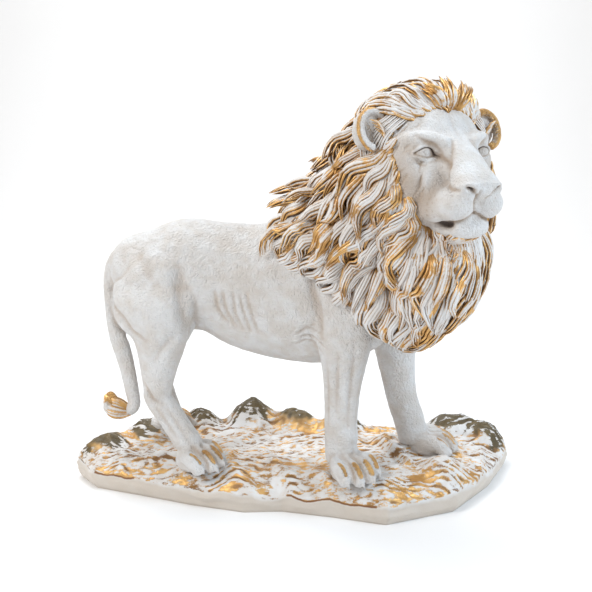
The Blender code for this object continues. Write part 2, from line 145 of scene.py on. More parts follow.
# Colours
WHITE_COOL = (0.78, 0.78, 0.78, 1.0)
WHITE_WARM = (0.70, 0.665, 0.63, 1.0)
# painted shade: the beige brown that the fur's grooves, folds, cheeks and hollows are darkened towards
SHADE_BROWN = (0.42, 0.30, 0.20, 1.0)
GOLD_BRIGHT = (0.84, 0.52, 0.2, 1.0)
GOLD_DEEP = (0.5, 0.27, 0.09, 1.0)
# painted shadow: near black in the nostrils, the mouth's gap and the upper lid lines
SHADOW_DARK = (0.07, 0.05, 0.04, 1.0)
# the leaf browned: painted shade between the mane's strands, and the rock's brown tints
GOLD_BROWN = (0.24, 0.12, 0.04, 1.0)
# the side band's own beige, darkened with painted shade
SIDE_BEIGE_AND_SHADE = (0.62, 0.55, 0.47, 1.0)
OLIVE = (0.075, 0.06, 0.025, 1.0)
RUST = (0.20, 0.07, 0.02, 1.0)
FLOOR_PALE = (0.93, 0.93, 0.93, 1.0)
FLOOR_ROUGHNESS = 0.9
SURROUND = (1.0, 0.97, 0.94, 1.0)
SURROUND_STRENGTH = 0.42

LION_PLACE = (
    Matrix.Translation((*LION_AT, ROCK_TOP)) @ Matrix.Rotation(LION_YAW, 4, "Z") @ Matrix.Scale(U, 4)
)


def smooth_rows(rows, steps):
    """Rows of numbers, with steps rows to each span, on a Catmull-Rom curve through the given ones."""
    rows = np.asarray(rows, float)
    padded = np.vstack([2 * rows[0] - rows[1], rows, 2 * rows[-1] - rows[-2]])
    found = []
    for i in range(1, len(padded) - 2):
        a, b, c, d = padded[i - 1 : i + 3]
        for t in np.linspace(0, 1, steps, endpoint=False):
            bend = (2 * a - 5 * b + 4 * c - d) * t**2 + (3 * b - a - 3 * c + d) * t**3
            found.append(0.5 * (2 * b + (c - a) * t + bend))
    found.append(rows[-1])
    return np.array(found)


def unit(v):
    return v / max(np.linalg.norm(v), 1e-12)


class Clay:
    """Loose closed shapes, gathered to be fused into one skin."""

    def __init__(self):
        self.points, self.faces = [], []

    def add(self, points, faces):
        start = sum(len(p) for p in self.points)
        self.points.append(np.asarray(points, float))
        self.faces += [[start + i for i in face] for face in faces]

    def limb(self, stations, side=(0, 1, 0), steps=4, sides=OVAL_SIDES):
        """An oval tube with domed ends. A station is x, y, z, half-width along side, half-width across it."""
        rows = smooth_rows(stations, steps)
        centres, halves = rows[:, :3], np.maximum(rows[:, 3:5], 0.05)
        tangents = np.gradient(centres, axis=0)
        turns = np.linspace(0, 2 * math.pi, sides, endpoint=False)
        points = []
        for centre, (wide, deep), tangent in zip(centres, halves, tangents):
            tangent = unit(tangent)
            across = unit(np.asarray(side, float) - np.dot(side, tangent) * tangent)
            up = np.cross(tangent, across)
            points += [centre + wide * math.cos(a) * across + deep * math.sin(a) * up for a in turns]
        rings = len(centres)
        points.append(centres[0] - unit(tangents[0]) * 0.55 * halves[0].min())
        points.append(centres[-1] + unit(tangents[-1]) * 0.55 * halves[-1].min())
        first, last = len(points) - 2, len(points) - 1
        faces = []
        for r in range(rings - 1):
            for k in range(sides):
                n = (k + 1) % sides
                faces.append([r * sides + k, r * sides + n, (r + 1) * sides + n, (r + 1) * sides + k])
        for k in range(sides):
            n = (k + 1) % sides
            faces.append([first, n, k])
            faces.append([last, (rings - 1) * sides + k, (rings - 1) * sides + n])
        self.add(points, faces)

    def lump(self, centre, radii, turn=0.0, tilt=0.0):
        """An ellipsoid, turned about Z after it is tilted about its own Y."""
        ball = bmesh.new()
        bmesh.ops.create_icosphere(ball, subdivisions=3, radius=1.0)
        place = Matrix.Translation(centre) @ Matrix.Rotation(turn, 4, "Z") @ Matrix.Rotation(tilt, 4, "Y")
        place = place @ Matrix.Diagonal((*radii, 1.0))
        bmesh.ops.transform(ball, matrix=place, verts=ball.verts)
        self.add([v.co[:] for v in ball.verts], [[v.index for v in f.verts] for f in ball.faces])
        ball.free()

    def mesh(self, name):
        made = bpy.data.meshes.new(name)
        made.from_pydata(np.vstack(self.points).tolist(), [], self.faces)
        return made


def head_point(forward, left, up):
    """A place on the head: forward to the nose, left and up from the point between the ears."""
    c, s = math.cos(HEAD_YAW), math.sin(HEAD_YAW)
    x, y, z = HEAD_AT
    return np.array([x + c * forward - s * left, y + s * forward + c * left, z + up])


HEAD_LEFT = head_point(0, 1, 0) - head_point(0, 0, 0)
HEAD_FORWARD = head_point(1, 0, 0) - head_point(0, 0, 0)


def trunk(clay):
    """Barrel, loin and rump, then the haunches and shoulders. The stations run from the rump to the chest."""
    profile = [  # x, height of the middle, half-width, half-height
        (-112, 125, 12, 15),
        (-104, 126, 20, 22),
        (-90, 126, 26, 28),
        (-68, 125, 27, 36.5),
        (-45, 123, 25, 37.5),
        (-20, 117, 27.5, 43),
        (5, 114.5, 30, 46),
        (28, 115.5, 31, 47),
        (48, 119, 29, 44),
        (66, 122, 24, 34),
        (78, 120, 14, 20),
    ]
    clay.limb([(x, 0, z, wide, high) for x, z, wide, high in profile])
    for side in (-1, 1):
        clay.lump((-80, side * 19, 112), (25, 13, 34), tilt=0.25)
        clay.lump((-66, side * 18, 106), (10, 9, 20), tilt=-0.3)
        clay.lump((47, side * 24, 118), (18, 10, 30), tilt=-0.15)


def front_leg(clay, side, chest, elbow, wrist, ankle):
    """Shoulder blade, upper arm, forearm and wrist. The four places are x, y; side is -1 for the near leg."""
    clay.limb(
        [
            (chest[0] + 4, side * 17, 138, 9, 17),
            (chest[0] + 1, side * 21, 118, 12, 23),
            (chest[0] - 1, side * 23, 100, 12.5, 21),
            (elbow[0], elbow[1], 84, 12, 16.5),
            (elbow[0] * 0.5 + wrist[0] * 0.5, elbow[1] * 0.5 + wrist[1] * 0.5, 62, 10, 12.5),
            (wrist[0], wrist[1], 40, 8.8, 10.8),
            (wrist[0] * 0.4 + ankle[0] * 0.6, wrist[1] * 0.4 + ankle[1] * 0.6, 22, 9.2, 10.8),
            (ankle[0], ankle[1], 9, 10, 11),
        ]
    )


def hind_leg(clay, side, hip, knee, hock, ankle):
    """Thigh, shin, hock and long foot. Each place is x, y, z."""

    def between(a, b, share):
        return [u * (1 - share) + v * share for u, v in zip(a, b)]

    thigh = between(hip, knee, 0.5)
    clay.limb(
        [
            (*hip, 13, 26),
            (thigh[0], side * 22, thigh[2], 15, 28),
            (*knee, 12.5, 19),
            (*between(knee, hock, 0.45), 9.6, 13),
            (*between(knee, hock, 0.85), 7.8, 9.8),
            (*hock, 7.4, 9),
            (*between(hock, ankle, 0.45), 7.6, 9),
            (*between(hock, ankle, 0.8), 8.6, 9),
            (*ankle, 9.5, 8.6),
        ]
    )
    clay.lump((hock[0] - 4, hock[1], hock[2] + 4), (5, 5, 7))


def paw(clay, at, heading, size=1.0):
    """Four toes with knuckles and claws, round a broad pad."""
    ahead = np.array([math.cos(heading), math.sin(heading), 0])
    left = np.array([-math.sin(heading), math.cos(heading), 0])
    at = np.array([*at, 0.0])

    def place(forward, sideways, up):
        return at + size * (ahead * forward + left * sideways) + np.array([0, 0, up * size])

    clay.lump(place(5, 0, 5), (13 * size, 12.5 * size, 8.5 * size), heading)
    for sideways, reach in ((-12, 15), (-4.2, 20), (4.2, 20), (12, 15)):
        clay.limb(
            [
                (*place(0, sideways * 0.6, 9), 4 * size, 5 * size),
                (*place(reach - 7, sideways * 0.95, 10.5), 4.3 * size, 5 * size),
                (*place(reach - 1, sideways, 7.5), 4.4 * size, 4.8 * size),
                (*place(reach + 3, sideways * 1.02, 2.5), 3.6 * size, 3.8 * size),
            ],
            side=left,
        )
        clay.limb(
            [
                (*place(reach + 1.5, sideways, 7.5), 1.8 * size, 1.9 * size),
                (*place(reach + 5.5, sideways, 5), 1.3 * size, 1.6 * size),
                (*place(reach + 7.5, sideways, 1), 0.5 * size, 0.7 * size),
            ],
            side=left,
            sides=8,
        )


def tail(clay):
    """From the rump down to the hock, with its tuft curled back behind it."""
    clay.limb(
        [
            (-103, -2, 140, 8, 7),
            (-113, -2, 131, 6.5, 6),
            (-116, -2, 110, 5.5, 6),
            (-113, -4, 85, 5, 6.2),
            (-107, -6, 62, 4.6, 5.6),
            (-103, -9, 46, 4.2, 5),
            (-101, -11, 36, 4, 4.6),
            (-106, -11, 31, 4, 4),
            (-113, -11, 32, 4, 4),
        ]
    )
    for lift, swing in ((0, 0), (4, 2.5), (-3, -2), (2, -3)):
        clay.limb(
            [
                (-108, -11, 32, 3, 3),
                (-115, -11 + swing, 33 + lift * 0.5, 4.2, 3.8),
                (-119, -11 + swing, 37 + lift, 3.4, 3.4),
                (-119.5, -11 + swing * 1.2, 38 + lift * 0.6, 1.6, 1.6),
            ],
            sides=12,
        )


def head(clay, ears=True):
    """Skull, cheeks, muzzle and jaw, eased into each other, then the eyes, lids, nose and ears."""
    soft = Clay()

    def along(*stations):
        soft.limb([(*head_point(f, 0, u), wide, high) for f, u, wide, high in stations], side=HEAD_LEFT)

    def lump(f, l, u, *radii):
        soft.lump(head_point(f, l, u), radii, HEAD_YAW)

    def across(*stations):
        path = [(*head_point(f, l, u), wide, wide) for f, l, u, wide in stations]
        clay.limb(path, side=HEAD_FORWARD, sides=12)

    lump(-4, 0, -10, 26, 33, 29)
    lump(4, 0, -14, 18.5, 35, 24)
    along((12, -4, 13, 9), (24, -13, 13, 9), (33.5, -22, 13, 9), (41.5, -28.5, 15, 8), (46.5, -31, 14.5, 5.5))
    along((6, -33, 27, 20), (18, -36, 22, 16), (31, -38, 15, 9))
    along((4, -49, 23, 13), (15, -51, 14, 9), (27, -52.5, 12, 7), (39.5, -51.5, 12.5, 6.4))
    lump(12, 0, -56, 15, 12, 8)
    lump(35, 0, -41.5, 6, 6, 6)
    for side in (-1, 1):
        soft.limb(
            [
                (*head_point(25, side * 8, -6), 4, 3.5),
                (*head_point(20.5, side * 15, -4), 4.5, 4.2),
                (*head_point(15.5, side * 23, -3.5), 4.5, 4.2),
                (*head_point(8, side * 29, -5), 4, 4),
            ],
            side=HEAD_FORWARD,
        )
        lump(14, side * 18, -10, 7, 9, 7)
        lump(18, side * 12, -10, 6.5, 5, 7)
        lump(8, side * 25, -17, 11, 9, 10)
        lump(5, side * 20, -28, 17, 15.5, 21)
        lump(12, side * 18, -24, 10, 11, 12)
        lump(2, side * 17, -44, 17, 15, 17)
        lump(15, side * 13, -26, 12, 10, 16)
        lump(23, side * 12, -40, 14, 11, 11)
        lump(33.5, side * 10, -38.5, 12.5, 12, 10)
        lump(-4, side * 30, -3, 9, 8, 13)
    form = fused(soft, "head", SOFT_HEAD_VOXEL, SOFT_HEAD_SMOOTHING)
    clay.add([v.co[:] for v in form.vertices], [list(p.vertices) for p in form.polygons])
    for side in (-1, 1):
        clay.lump(head_point(17.3, side * 19.8, -11), (5, 5, 4.6), HEAD_YAW)
        upper = [(18, 26.5, -11.2, 1.2), (20.4, 23, -9.2, 1.9), (20.9, 18, -8.4, 2.0), (21, 13, -10.2, 1.6)]
        lower = [(18, 26.5, -12, 1.0), (20.1, 23, -13.4, 1.4), (20.5, 18, -13.9, 1.5), (21.6, 13, -12.8, 1.4)]
        nostril = [(47, 5, -29, 2.6), (45.5, 10.5, -28.6, 2.6), (41, 13.5, -29.5, 2.6)]
        for line in (upper, lower, nostril):
            across(*[(f, side * l, u, wide) for f, l, u, wide in line])
        if ears:
            ear(clay, side)


def ear_rim(side, start, end, count, wide):
    """Places along an ear's round edge, between two turns in half circles. wide is the edge's own reach."""
    for turn in np.linspace(start * math.pi, end * math.pi, count):
        c, s = math.cos(turn), math.sin(turn)
        yield head_point(-1 - 3 * s, side * (39.5 + wide[0] * c), 1 + wide[1] * s)


def ear(clay, side):
    """A round cup, open to the front, with a thick rim."""
    rim = [(*place, 2.5, 2.4) for place in ear_rim(side, -0.42, 1.08, 12, (8.8, 10.3))]
    clay.limb(rim, side=HEAD_FORWARD, steps=3, sides=12)
    clay.lump(head_point(-7.5, side * 39.5, 0.5), (5.5, 10.2, 11.6), HEAD_YAW)


def mane_mass(clay):
    """What the locks lie on: a collar behind the face, a cape over the withers and a bib down the chest."""
    clay.limb(
        [
            (6, -2, 149, 24, 14),
            (26, -4, 155, 33, 28),
            (52, -9, 162, 40, 39),
            (76, -15, 182, 41, 40),
            (88, -19, 196, 38, 39),
        ]
    )
    clay.limb([(28, -8, 156, 33, 22), (56, -14, 134, 29, 23), (80, -20, 110, 23, 20), (90, -24, 98, 12, 10)])
    clay.lump(head_point(-9, 0, -1), (20, 41, 26), HEAD_YAW)
    clay.lump(head_point(-20, 0, -20), (22, 47.5, 38), HEAD_YAW)
    clay.lump(head_point(-10, 0, -42), (24, 41, 36), HEAD_YAW)
    clay.limb(
        [
            (*head_point(-4, 0, -58), 34, 23),
            (*head_point(3, 1, -75), 30, 24),
            (*head_point(3, 1, -89), 24, 21),
            (*head_point(1, -4, -103), 16, 15),
            (*head_point(-1, -6, -114), 7, 7),
        ],
        side=HEAD_LEFT,
    )


def fused(clay, name, voxel, smoothing):
    """The clay as one closed skin, rounded where its pieces meet."""
    rough = bpy.data.objects.new(name, clay.mesh(name))
    bpy.context.scene.collection.objects.link(rough)
    remesh = rough.modifiers.new("Fuse", "REMESH")
    remesh.mode = "VOXEL"
    remesh.voxel_size = voxel
    ease = rough.modifiers.new("Ease", "SMOOTH")
    ease.factor = 0.5
    ease.iterations = smoothing
    graph = bpy.context.evaluated_depsgraph_get()
    made = bpy.data.meshes.new_from_object(rough.evaluated_get(graph))
    bpy.data.objects.remove(rough)
    keep_largest_shell(made)
    return made


def keep_largest_shell(mesh):
    """Drops the pockets that closed up inside the clay."""
    shells = bmesh.new()
    shells.from_mesh(mesh)
    shells.verts.ensure_lookup_table()
    left = set(shells.verts)
    found = []
    while left:
        shell, edge = set(), [left.pop()]
        while edge:
            vert = edge.pop()
            shell.add(vert)
            for link in vert.link_edges:
                other = link.other_vert(vert)
                if other in left:
                    left.remove(other)
                    edge.append(other)
        found.append(shell)
    largest = max(found, key=len)
    bmesh.ops.delete(shells, geom=[v for v in shells.verts if v not in largest], context="VERTS")
    shells.to_mesh(mesh)
    shells.free()


def round_head(p):
    """How far a place is ahead of the middle of the head, and its way off the line of sight."""
    rel = p - head_point(8, 0, -24)
    ahead = np.dot(rel, HEAD_FORWARD)
    return rel, ahead, rel - ahead * HEAD_FORWARD


def hair_way(p):
    """Which way the mane grows at a place: away from the face, then down and back over the neck."""
    radial = unit(round_head(p)[2])
    low = np.clip((HEAD_AT[2] + 12 - p[2]) / 55, 0, 1)
    behind = np.clip((75 - p[0]) / 70, 0, 1)
    back = nape(p)
    fall = np.array([-0.25 - 1.0 * behind, 0, -0.25 - 0.95 * low - back])
    return unit(radial * (1 - 0.85 * low) * (1 - back) + fall)


def nape(p):
    """How near a place is to the back of the head, from 0 to 1. It reaches wider on the left side."""
    rel, ahead, off = round_head(p)
    wide = np.clip(np.dot(rel, HEAD_LEFT) / 25, 0, 1)
    reach, fade = 44 + 50 * wide, 16 + 24 * wide
    return np.clip((reach - np.linalg.norm(off)) / fade, 0, 1) * np.clip((-ahead - 16) / 20, 0, 1)


def on_mane(p):
    """True where hair grows: round and behind the face, over the neck and withers, and down the chest."""
    rel = p - head_point(0, 0, 0)
    ahead, left, up = np.dot(rel, HEAD_FORWARD), np.dot(rel, HEAD_LEFT), rel[2]
    face_half = 33 - 0.38 * max(0, -25 - up)
    on_face = ahead > 2 and abs(left) < face_half and -64 < up < 11 - 0.009 * left**2
    return not on_face and p[0] > -2


ROCK_OUTLINE = [  # corners of the broken slab, in shares of its half-length and half-depth
    (1.0, 0.32),
    (0.97, 0.62),
    (0.72, 0.8),
    (0.36, 0.76),
    (0.1, 0.86),
    (-0.22, 1.0),
    (-0.5, 0.9),
    (-0.76, 0.68),
    (-0.94, 0.36),
    (-1.0, 0.02),
    (-0.9, -0.24),
    (-0.7, -0.4),
    (-0.44, -0.62),
    (-0.22, -0.76),
    (-0.06, -0.74),
    (0.16, -0.86),
    (0.37, -1.0),
    (0.67, -0.74),
    (0.87, -0.22),
]
ROCK_PEAKS = [  # x, y in the same shares, radius in shares of the half-depth, rise in metres
    (-0.22, 0.84, 0.34, 0.017),
    (-0.48, 0.76, 0.3, 0.011),
    (0.0, 0.74, 0.3, 0.011),
    (0.22, 0.66, 0.3, 0.009),
    (0.75, 0.6, 0.3, 0.011),
    (0.9, 0.42, 0.3, 0.009),
    (-0.9, 0.14, 0.3, 0.008),
    (-0.7, 0.5, 0.36, 0.009),
    (0.62, -0.52, 0.26, 0.007),
    (0.5, -0.1, 0.2, 0.005),
    (0.42, 0.16, 0.2, 0.005),
]





def peak_share(x, y, peak):
    """How near a place is to the middle of a peak: 1 there, 0 at its foot and less beyond it."""
    px, py, radius, _ = peak
    away = math.hypot(x - px * ROCK_LENGTH / 2, y - py * ROCK_DEPTH / 2) / (radius * ROCK_DEPTH / 2)
    return 1 - away * away


def rock_height(x, y, edge):
    """Height of the rock's top. edge is the distance to the slab's outline."""
    high = ROCK_TOP - (ROCK_TOP - ROCK_EDGE) * max(0.0, 1 - edge / ROCK_BEVEL) ** 2
    for peak in ROCK_PEAKS:
        high += peak[3] * max(0.0, peak_share(x, y, peak)) ** 1.5
    return high + ROCK_ROUGHNESS * ridged(x / ROCK_GRAIN, y / ROCK_GRAIN, 0.3, 1.0, 2.1, 4)


def mesh_points(mesh):
    found = np.empty(len(mesh.vertices) * 3)
    mesh.vertices.foreach_get("co", found)
    return found.reshape(-1, 3)


def surface_of(mesh):
    return BVHTree.FromPolygons(mesh_points(mesh).tolist(), [list(p.vertices) for p in mesh.polygons])


def mirrored(path):
    """The same path on the lion's other side."""
    return [(x, -y, z) for x, y, z in path]


def set_values(mesh, name, values, kind="FLOAT", key="value"):
    """Stores a value for each point, which the paints read."""
    mesh.attributes.new(name, kind, "POINT").data.foreach_set(key, np.asarray(values, np.float32).ravel())


class Skin:
    """A closed skin that is carved by pushing its points along their normals."""

    def __init__(self, mesh):
        self.mesh = mesh
        self.points = mesh_points(mesh)
        count = len(self.points)
        found = np.empty(count * 3)
        mesh.vertices.foreach_get("normal", found)
        self.normals = found.reshape(-1, 3)
        ends = np.empty(len(mesh.edges) * 2, int)
        mesh.edges.foreach_get("vertices", ends)
        self.ends = ends.reshape(-1, 2)
        # for each point: its push, its painted shade, its gold and its painted dark shadow
        self.push, self.wash, self.gold, self.deep = np.zeros((4, count))
        self.tree = surface_of(mesh)

    def reach(self, path, width):
        """The points near a path on the skin, how far each is from it and how far along it."""
        rows = smooth_rows(path, 6) if len(path) > 1 else np.array([path[0], path[0]], float)
        rows = np.array([self.tree.find_nearest(Vector(row))[0] for row in rows])
        low, high = rows.min(axis=0) - 2.2 * width, rows.max(axis=0) + 2.2 * width
        near = np.flatnonzero(((self.points > low) & (self.points < high)).all(axis=1))
        spots, starts = self.points[near][:, None], rows[:-1]
        along = rows[1:] - starts
        share = ((spots - starts) * along).sum(axis=2) / np.maximum((along**2).sum(axis=1), 1e-9)
        share = np.clip(share, 0, 1)
        away = np.linalg.norm(spots - starts - along * share[..., None], axis=2)
        span = away.argmin(axis=1) if len(near) else np.zeros(0, int)
        index = np.arange(len(near))
        return near, away[index, span], (span + share[index, span]) / len(starts)

    def stroke(self, path, width, depth, wash=0.0, ends=0.1):
        """Presses a groove along a path, or raises a ridge where depth is below zero, and paints shade along
        it.
        """
        near, away, travel = self.reach(path, width)
        fall = np.exp(-((away / width) ** 2)) * np.sin(math.pi * (ends + (1 - 2 * ends) * travel)) ** 0.7
        self.push[near] -= depth * fall
        self.wash[near] += wash * fall
        # the deepest grooves also get a dark painted shadow
        if wash > SHADOW_FROM:
            self.deep[near] = np.maximum(self.deep[near], fall)

    def dab(self, spot, width, depth, wash=0.0):
        """Presses a round hollow, or raises a round swelling where depth is below zero."""
        self.stroke([spot], width, depth, wash, ends=0.5)

    def gild(self, path, width, amount=1.0):
        near, away, _ = self.reach(path, width)
        self.gold[near] = np.maximum(self.gold[near], amount * np.exp(-((away / width) ** 4)))

    def relaxed(self, rounds):
        """The points after each has moved to the middle of its neighbours this many times."""
        spots, (a, b) = self.points.copy(), self.ends.T
        count = np.bincount(a, minlength=len(spots)) + np.bincount(b, minlength=len(spots))
        for _ in range(rounds):
            spots = np.stack(
                [
                    np.bincount(a, spots[b, k], len(spots)) + np.bincount(b, spots[a, k], len(spots))
                    for k in range(3)
                ],
                axis=1,
            ) / np.maximum(count, 1)[:, None]
        return spots

    def roughen(self, size, depth, seed=0.0):
        """Adds soft unevenness of that size all over."""
        shift = Vector((seed, 0, 0))
        self.push += depth * np.array([noise.noise(Vector(p / size) + shift) for p in self.points])

    def settle(self, fur):
        """Moves the points, then stores the painted shade, the painted dark shadow, the gold and the fur's
        height. Hollows get painted shade too.
        """
        self.points += self.normals * self.push[:, None]
        # where the skin lies in a hollow it gets more painted shade
        hollow = np.clip(((self.relaxed(6) - self.points) * self.normals).sum(axis=1) / 0.35, -1, 1)
        self.mesh.vertices.foreach_set("co", self.points.ravel())
        self.mesh.update()
        set_values(self.mesh, "wash", np.clip(self.wash + np.clip(hollow, 0, 1) * 0.4, 0, 1))
        set_values(self.mesh, "deep", np.clip(self.deep, 0, 1))
        set_values(self.mesh, "gold", np.clip(self.gold, 0, 1))
        set_values(self.mesh, "fur", np.full(len(self.points), fur))
        return self.mesh


RIBS = [
    [(-40, -25, 118), (-39, -24, 109), (-36, -23, 102), (-30, -23, 97)],
    [(-35, -26, 119), (-34, -25, 111), (-32, -24, 104), (-27, -23, 96)],
    [(-28, -26, 118), (-28, -26, 112), (-27, -25, 104), (-23, -23, 95)],
    [(-24, -27, 117), (-23, -27, 110), (-21, -26, 104), (-18, -24, 93)],
    [(-19, -28, 118), (-18, -27, 110), (-16, -27, 103), (-13, -24, 93)],
]
FOLDS = [  # path, width, depth, painted shade
    ([(-115, -7, 114), (-100, -32, 103), (-92, -34, 93), (-83, -36, 88)], 2.2, 1.3, 0.25),
    ([(-117, -7, 105), (-113, -8, 92), (-106, -3, 81)], 2.0, 1.2, 0.25),
    ([(-94, -17, 145), (-84, -29, 132), (-78, -31, 124)], 5.0, 1.6, 0.1),
    ([(-105, -14, 141), (-98, -22, 133)], 4.0, 1.0, 0.1),
    ([(-62, -26, 132), (-61, -29, 118), (-58, -31, 103), (-57, -24, 93)], 5.0, 2.0, 0.15),
    ([(19, -26, 139), (23, -30, 121), (27, -32, 106), (28, -32, 91)], 3.4, 1.8, 0.25),
    ([(-87, -30, 57), (-83, -31, 50), (-76, -31, 44)], 1.8, 1.3, 0.3),
    ([(-66, -30, 92), (-72, -33, 84), (-78, -33, 74)], 3.0, 1.0, 0.1),
]
WISPS = [
    [(11, -27, 95), (18, -29, 100), (26, -31, 97)],
    [(11, -26, 91), (19, -27, 95), (31, -34, 88)],
    [(15, -29, 101), (22, -30, 102)],
    [(10, -26, 87), (18, -27, 91), (28, -32, 84)],
]


def lion_body():
    """Trunk, legs, paws and tail, with the folds, ribs and sinews carved in."""
    clay = Clay()
    trunk(clay)
    front_leg(clay, -1, (42, -22), (42, -24), (40, -21), (41, -20))
    front_leg(clay, 1, (54, 22), (70, 24), (78, 23), (88, 23))
    hind_leg(clay, -1, (-84, -15, 124), (-77, -24, 88), (-80, -24, 47), (-58, -23, 12))
    hind_leg(clay, 1, (-88, 15, 124), (-84, 23, 88), (-96, 24, 47), (-88, 30, 12))
    for at, heading in PAWS:
        paw(clay, at, math.radians(heading))
    tail(clay)
    skin = Skin(fused(clay, "body", BODY_VOXEL, BODY_SMOOTHING))
    for path in RIBS:
        for side in (path, mirrored(path)):
            skin.stroke(side, 1.7, 1.5, 0.2)
    for path, width, depth, wash in FOLDS:
        for side in (path, mirrored(path)):
            skin.stroke(side, width, 1.4 * depth, wash)
    for path in WISPS:
        for side in (path, mirrored(path)):
            skin.stroke(side, 0.9, -0.9)
            skin.stroke([(x + 1, y, z - 2.0) for x, y, z in side], 0.8, 0.6, 0.2)
    front_leg_muscles(skin, (42, -24), (40, -21), (41, -20), -1)
    front_leg_muscles(skin, (70, 24), (78, 23), (88, 23), 1)
    hind_leg_sinews(skin, (-80, -24, 47), (-58, -23, 12), -1)
    hind_leg_sinews(skin, (-96, 24, 47), (-88, 30, 12), 1)
    for at, heading in PAWS:
        paw_lines(skin, at, math.radians(heading))
    skin.gild([(-108, -11, 31), (-114, -11, 33), (-119, -11, 42)], 7.0)
    skin.roughen(16.0, 0.5)
    skin.roughen(4.0, 0.16, 3.0)
    return skin.settle(1.0)


def front_leg_muscles(skin, elbow, wrist, ankle, side):
    """Long upright grooves between the muscles of a front leg, and the fold over the wrist."""
    for forward, out, high, low in ((6, 9, 92, 34), (-3, 12, 84, 44), (11, 3, 84, 30), (-9, 7, 78, 30)):
        path = []
        for z in np.linspace(high, low, 5):
            share = np.clip((84 - z) / 44, 0, 1)
            x = elbow[0] * (1 - share) + wrist[0] * share
            y = elbow[1] * (1 - share) + wrist[1] * share
            path.append((x + forward, y + side * out, z))
        skin.stroke(path, 2.0, 1.0, 0.2)
    for turn in (-0.8, 0.0, 0.8):
        x, y = wrist[0] * 0.4 + ankle[0] * 0.6, wrist[1] * 0.4 + ankle[1] * 0.6
        spot = (x + 11 * math.cos(turn), y + side * 9 * math.sin(abs(turn)), 24)
        end = (ankle[0] + 13 * math.cos(turn), ankle[1] + 9 * math.sin(turn), 15)
        skin.stroke([spot, end], 1.5, 0.7, 0.15)


def hind_leg_sinews(skin, hock, ankle, side):
    """The tendon along the back of a hind foot and the hollow before it."""
    for forward, depth in ((-5, 1.0), (3, 0.9)):
        path = []
        for share in np.linspace(0.05, 0.9, 5):
            x, y, z = (a * (1 - share) + b * share for a, b in zip(hock, ankle))
            path.append((x + forward, y + side * 9, z + 4))
        skin.stroke(path, 1.7, depth, 0.2)


def paw_lines(skin, at, heading):
    """The gaps between the toes, their gold claws and the gold rubbed over the toes."""
    ahead = np.array([math.cos(heading), math.sin(heading), 0])
    left = np.array([-math.sin(heading), math.cos(heading), 0])
    middle = np.array([*at, 0.0])
    for sideways in (-8.3, 0.0, 8.3):
        path = [middle + ahead * f + left * sideways * s + np.array([0, 0, u]) for f, s, u in TOE_GAP]
        skin.stroke(path, 1.3, 1.3, 0.55)
    for sideways, reach, width in ((-12, 15, 1.8), (-4.2, 20, 3.0), (4.2, 20, 3.2), (12, 15, 2.4)):
        nail = [middle + ahead * (reach + f) + left * sideways + np.array([0, 0, u]) for f, u in TOE_LEAF]
        skin.gild(nail, width, 0.74)


EYE_LINES = [  # path from the head's middle outwards, width, depth, painted shade
    ([(19.4, 26.6, -11.8), (21.8, 23, -9), (22.6, 20.2, -8.1), (22.4, 17.3, -9.4), (22.5, 15.3, -12.2),
      (24.5, 13.8, -13.2)], 0.75, 1.5, 1.0),
    ([(19.4, 26.4, -11.9), (21.5, 22.5, -13.3), (21.8, 19.4, -13.8),
      (22, 17, -13.2), (22.6, 15, -12.4)], 0.65, 0.9, 0.75),
    ([(20.2, 25.5, -13), (21, 21.5, -15.9), (21, 16.5, -15.7), (22.5, 13.8, -14.2)], 0.8, -0.5, 0.0),
    ([(20, 25, -15), (20.8, 21, -18), (20.8, 16.3, -17.6), (22.5, 13, -15.8)], 1.0, 0.45, 0.25),
    ([(18.4, 25.4, -1.7), (21.4, 21.5, -4.7), (22.8, 18.4, -6.2),
      (23.7, 15.5, -7.6), (25.5, 13.4, -10.8)], 1.8, 1.6, 0.6),
    ([(22.6, 15.5, -11.8), (26, 14, -13.4), (29.9, 12.2, -15.5), (31.5, 11.7, -18)], 2.0, 2.0, 0.85),
]
FACE_LINES = [
    ([(26.9, 6.5, -4.6), (29.5, 8.6, -10.4), (32.3, 11.3, -16),
      (32, 12, -20.5), (31.5, 12, -25)], 1.5, 1.2, 0.4),
    ([(31.5, 11.9, -25), (33, 13, -28), (37, 14.6, -29.5),
      (41, 15.2, -30.2), (44.5, 14.6, -30.4)], 1.2, 1.2, 0.5),
    ([(46.6, 12.7, -27.6), (48.2, 9, -26.9), (49.2, 4, -26.6), (49.4, 0, -26.4)], 0.9, -0.4, 0.0),
    ([(48.2, 12, -28.8), (48.6, 9.5, -30), (48, 7.2, -31.4)], 1.4, 2.8, 1.0),
    ([(48, 7, -31.2), (46.6, 4.5, -33.4), (45.2, 2.5, -35.5)], 0.9, 0.9, 0.45),
    ([(41.5, 0.3, -43.8), (41, 3.6, -45.2), (39.6, 8, -46.8), (38, 12.2, -47.9), (33, 13.8, -49),
      (27.7, 14.5, -50), (23, 14.5, -50.5)], 0.9, 1.7, 0.85),
    ([(36, 12.4, -49.6), (32, 12.6, -50.8), (28, 13, -51.4), (23, 14.2, -51.2)], 2.1, 2.8, 1.0),
    ([(29, 12, -30), (27, 19.5, -38), (25, 20, -46), (22, 17.5, -51)], 2.6, 0.5, 0.15),
    ([(21, 18, -18.5), (20.5, 18, -25), (20, 17.5, -33)], 2.4, -1.2, -0.4),
]


CHEEK_SHADES = [  # forward, left, up, width, painted shade
    (13, 29, -13, 6, 0.5), (14, 25, -28, 10, 0.7), (18, 22, -42, 9, 0.75), (25, 17, -36, 7, 0.5),
    (10, 32, -24, 8, 0.5),
]


